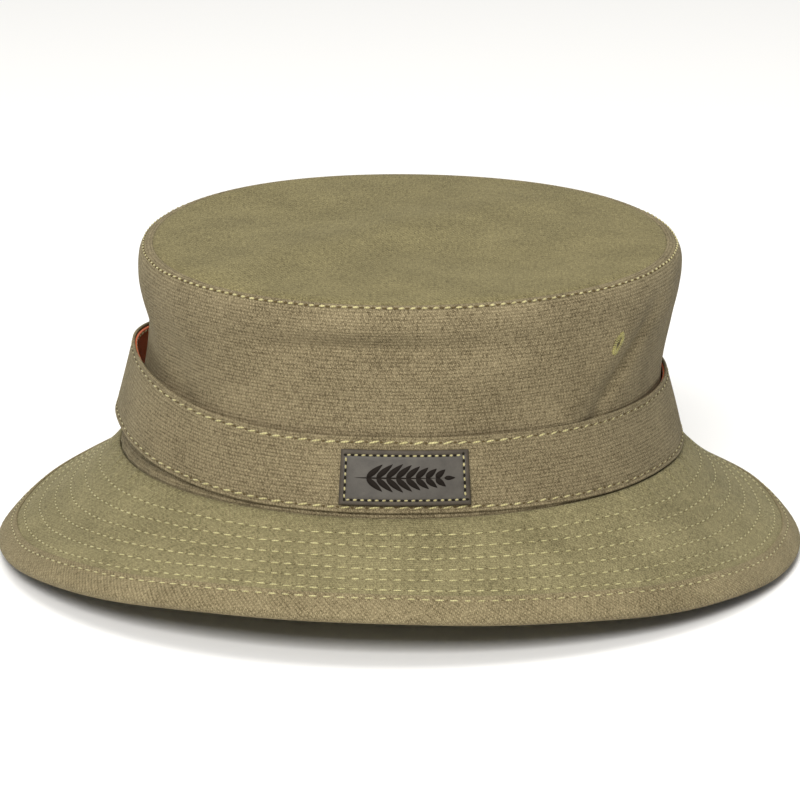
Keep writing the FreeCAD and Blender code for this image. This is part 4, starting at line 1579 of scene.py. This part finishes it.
# ---------------------------------------------------------------- studio
@dataclass
class Studio:
    """Pale floor, soft lights and the camera."""

    room: Workroom
    aim: tuple[float, float, float] = (-0.0002, 0.0, 0.0458)
    down: float = 14.4
    distance: float = 2.0
    lens: float = 282.06
    sensor: float = 36.0
    floor_size: float = 12.0
    air: float = 0.38

    def build_floor(self) -> None:
        """Wide pale floor."""
        bpy.ops.object.select_all(action="DESELECT")
        bpy.ops.mesh.primitive_plane_add(size=self.floor_size, location=(0, 0, 0))
        floor = active()
        floor.name = "studio_floor"
        floor.data.materials.append(PlainFinish("studio_floor_paint", (250, 250, 250), 0.0).material())

    def light(self, name: str, place: tuple[float, float, float], size: float, power: float,
              colour: tuple[float, float, float]) -> None:
        """Soft square light that faces the hat."""
        bpy.ops.object.light_add(type="AREA", location=place)
        lamp = active()
        lamp.name = name
        lamp.data.size = size
        lamp.data.energy = power
        lamp.data.color = colour
        way = Vector((0, 0, 0.05)) - Vector(place)
        lamp.rotation_euler = way.to_track_quat("-Z", "Y").to_euler()

    def build_lights(self) -> None:
        """Warm light from above, a neutral one from the camera's side, and a white surround."""
        self.light("top_softbox", (0.0, 0.1, 1.8), 1.3, 20.0, (1.0, 0.98, 0.92))
        self.light("front_softbox", (-0.3, -2.0, 1.3), 0.8, 58.0, (1.0, 0.985, 0.96))
        world = bpy.data.worlds.new("studio_air")
        world.use_nodes = True
        air = world.node_tree.nodes["Background"]
        air.inputs["Color"].default_value = (1.0, 1.0, 1.0, 1.0)
        air.inputs["Strength"].default_value = self.air
        bpy.context.scene.world = world
        bpy.context.scene.view_settings.view_transform = "Standard"

    def build_camera(self) -> None:
        """Long lens, looking a little down at the hat's front."""
        turn = math.radians(self.down)
        back = Vector((0, -math.cos(turn), math.sin(turn))) * self.distance
        bpy.ops.object.camera_add(location=Vector(self.aim) + back, rotation=(math.pi / 2 - turn, 0, 0))
        camera = active()
        camera.name = "studio_camera"
        camera.data.lens = self.lens
        camera.data.sensor_width = self.sensor
        camera.data.clip_start = 0.05
        camera.data.clip_end = 60.0
        bpy.context.scene.camera = camera

    def build(self) -> None:
        """Set up the whole studio."""
        self.build_camera()
        self.build_floor()
        self.build_lights()


# ---------------------------------------------------------------- the hat
def main() -> None:
    """Build the hat round its frame and report every piece."""
    logging.basicConfig(level=logging.INFO, format="%(name)s %(message)s")
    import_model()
    room = Workroom(Wardrobe(), Seamstress())
    Studio(room).build()

    wall_low, wall_high = box_of("crown_wall")
    side, front, seam = wall_high.x, wall_high.y, wall_low.z
    crown = Crown(CrownSurface(side, front, seam, wall_high.z - seam), room)
    crown.build()
    Vents(crown, room).build()
    Brim(BrimSurface(side, front, seam), room).build()
    band_surface = BandSurface(seam)
    Band(band_surface, room).build()
    Label(band_surface, room).build()


if __name__ == "__main__":
    main()
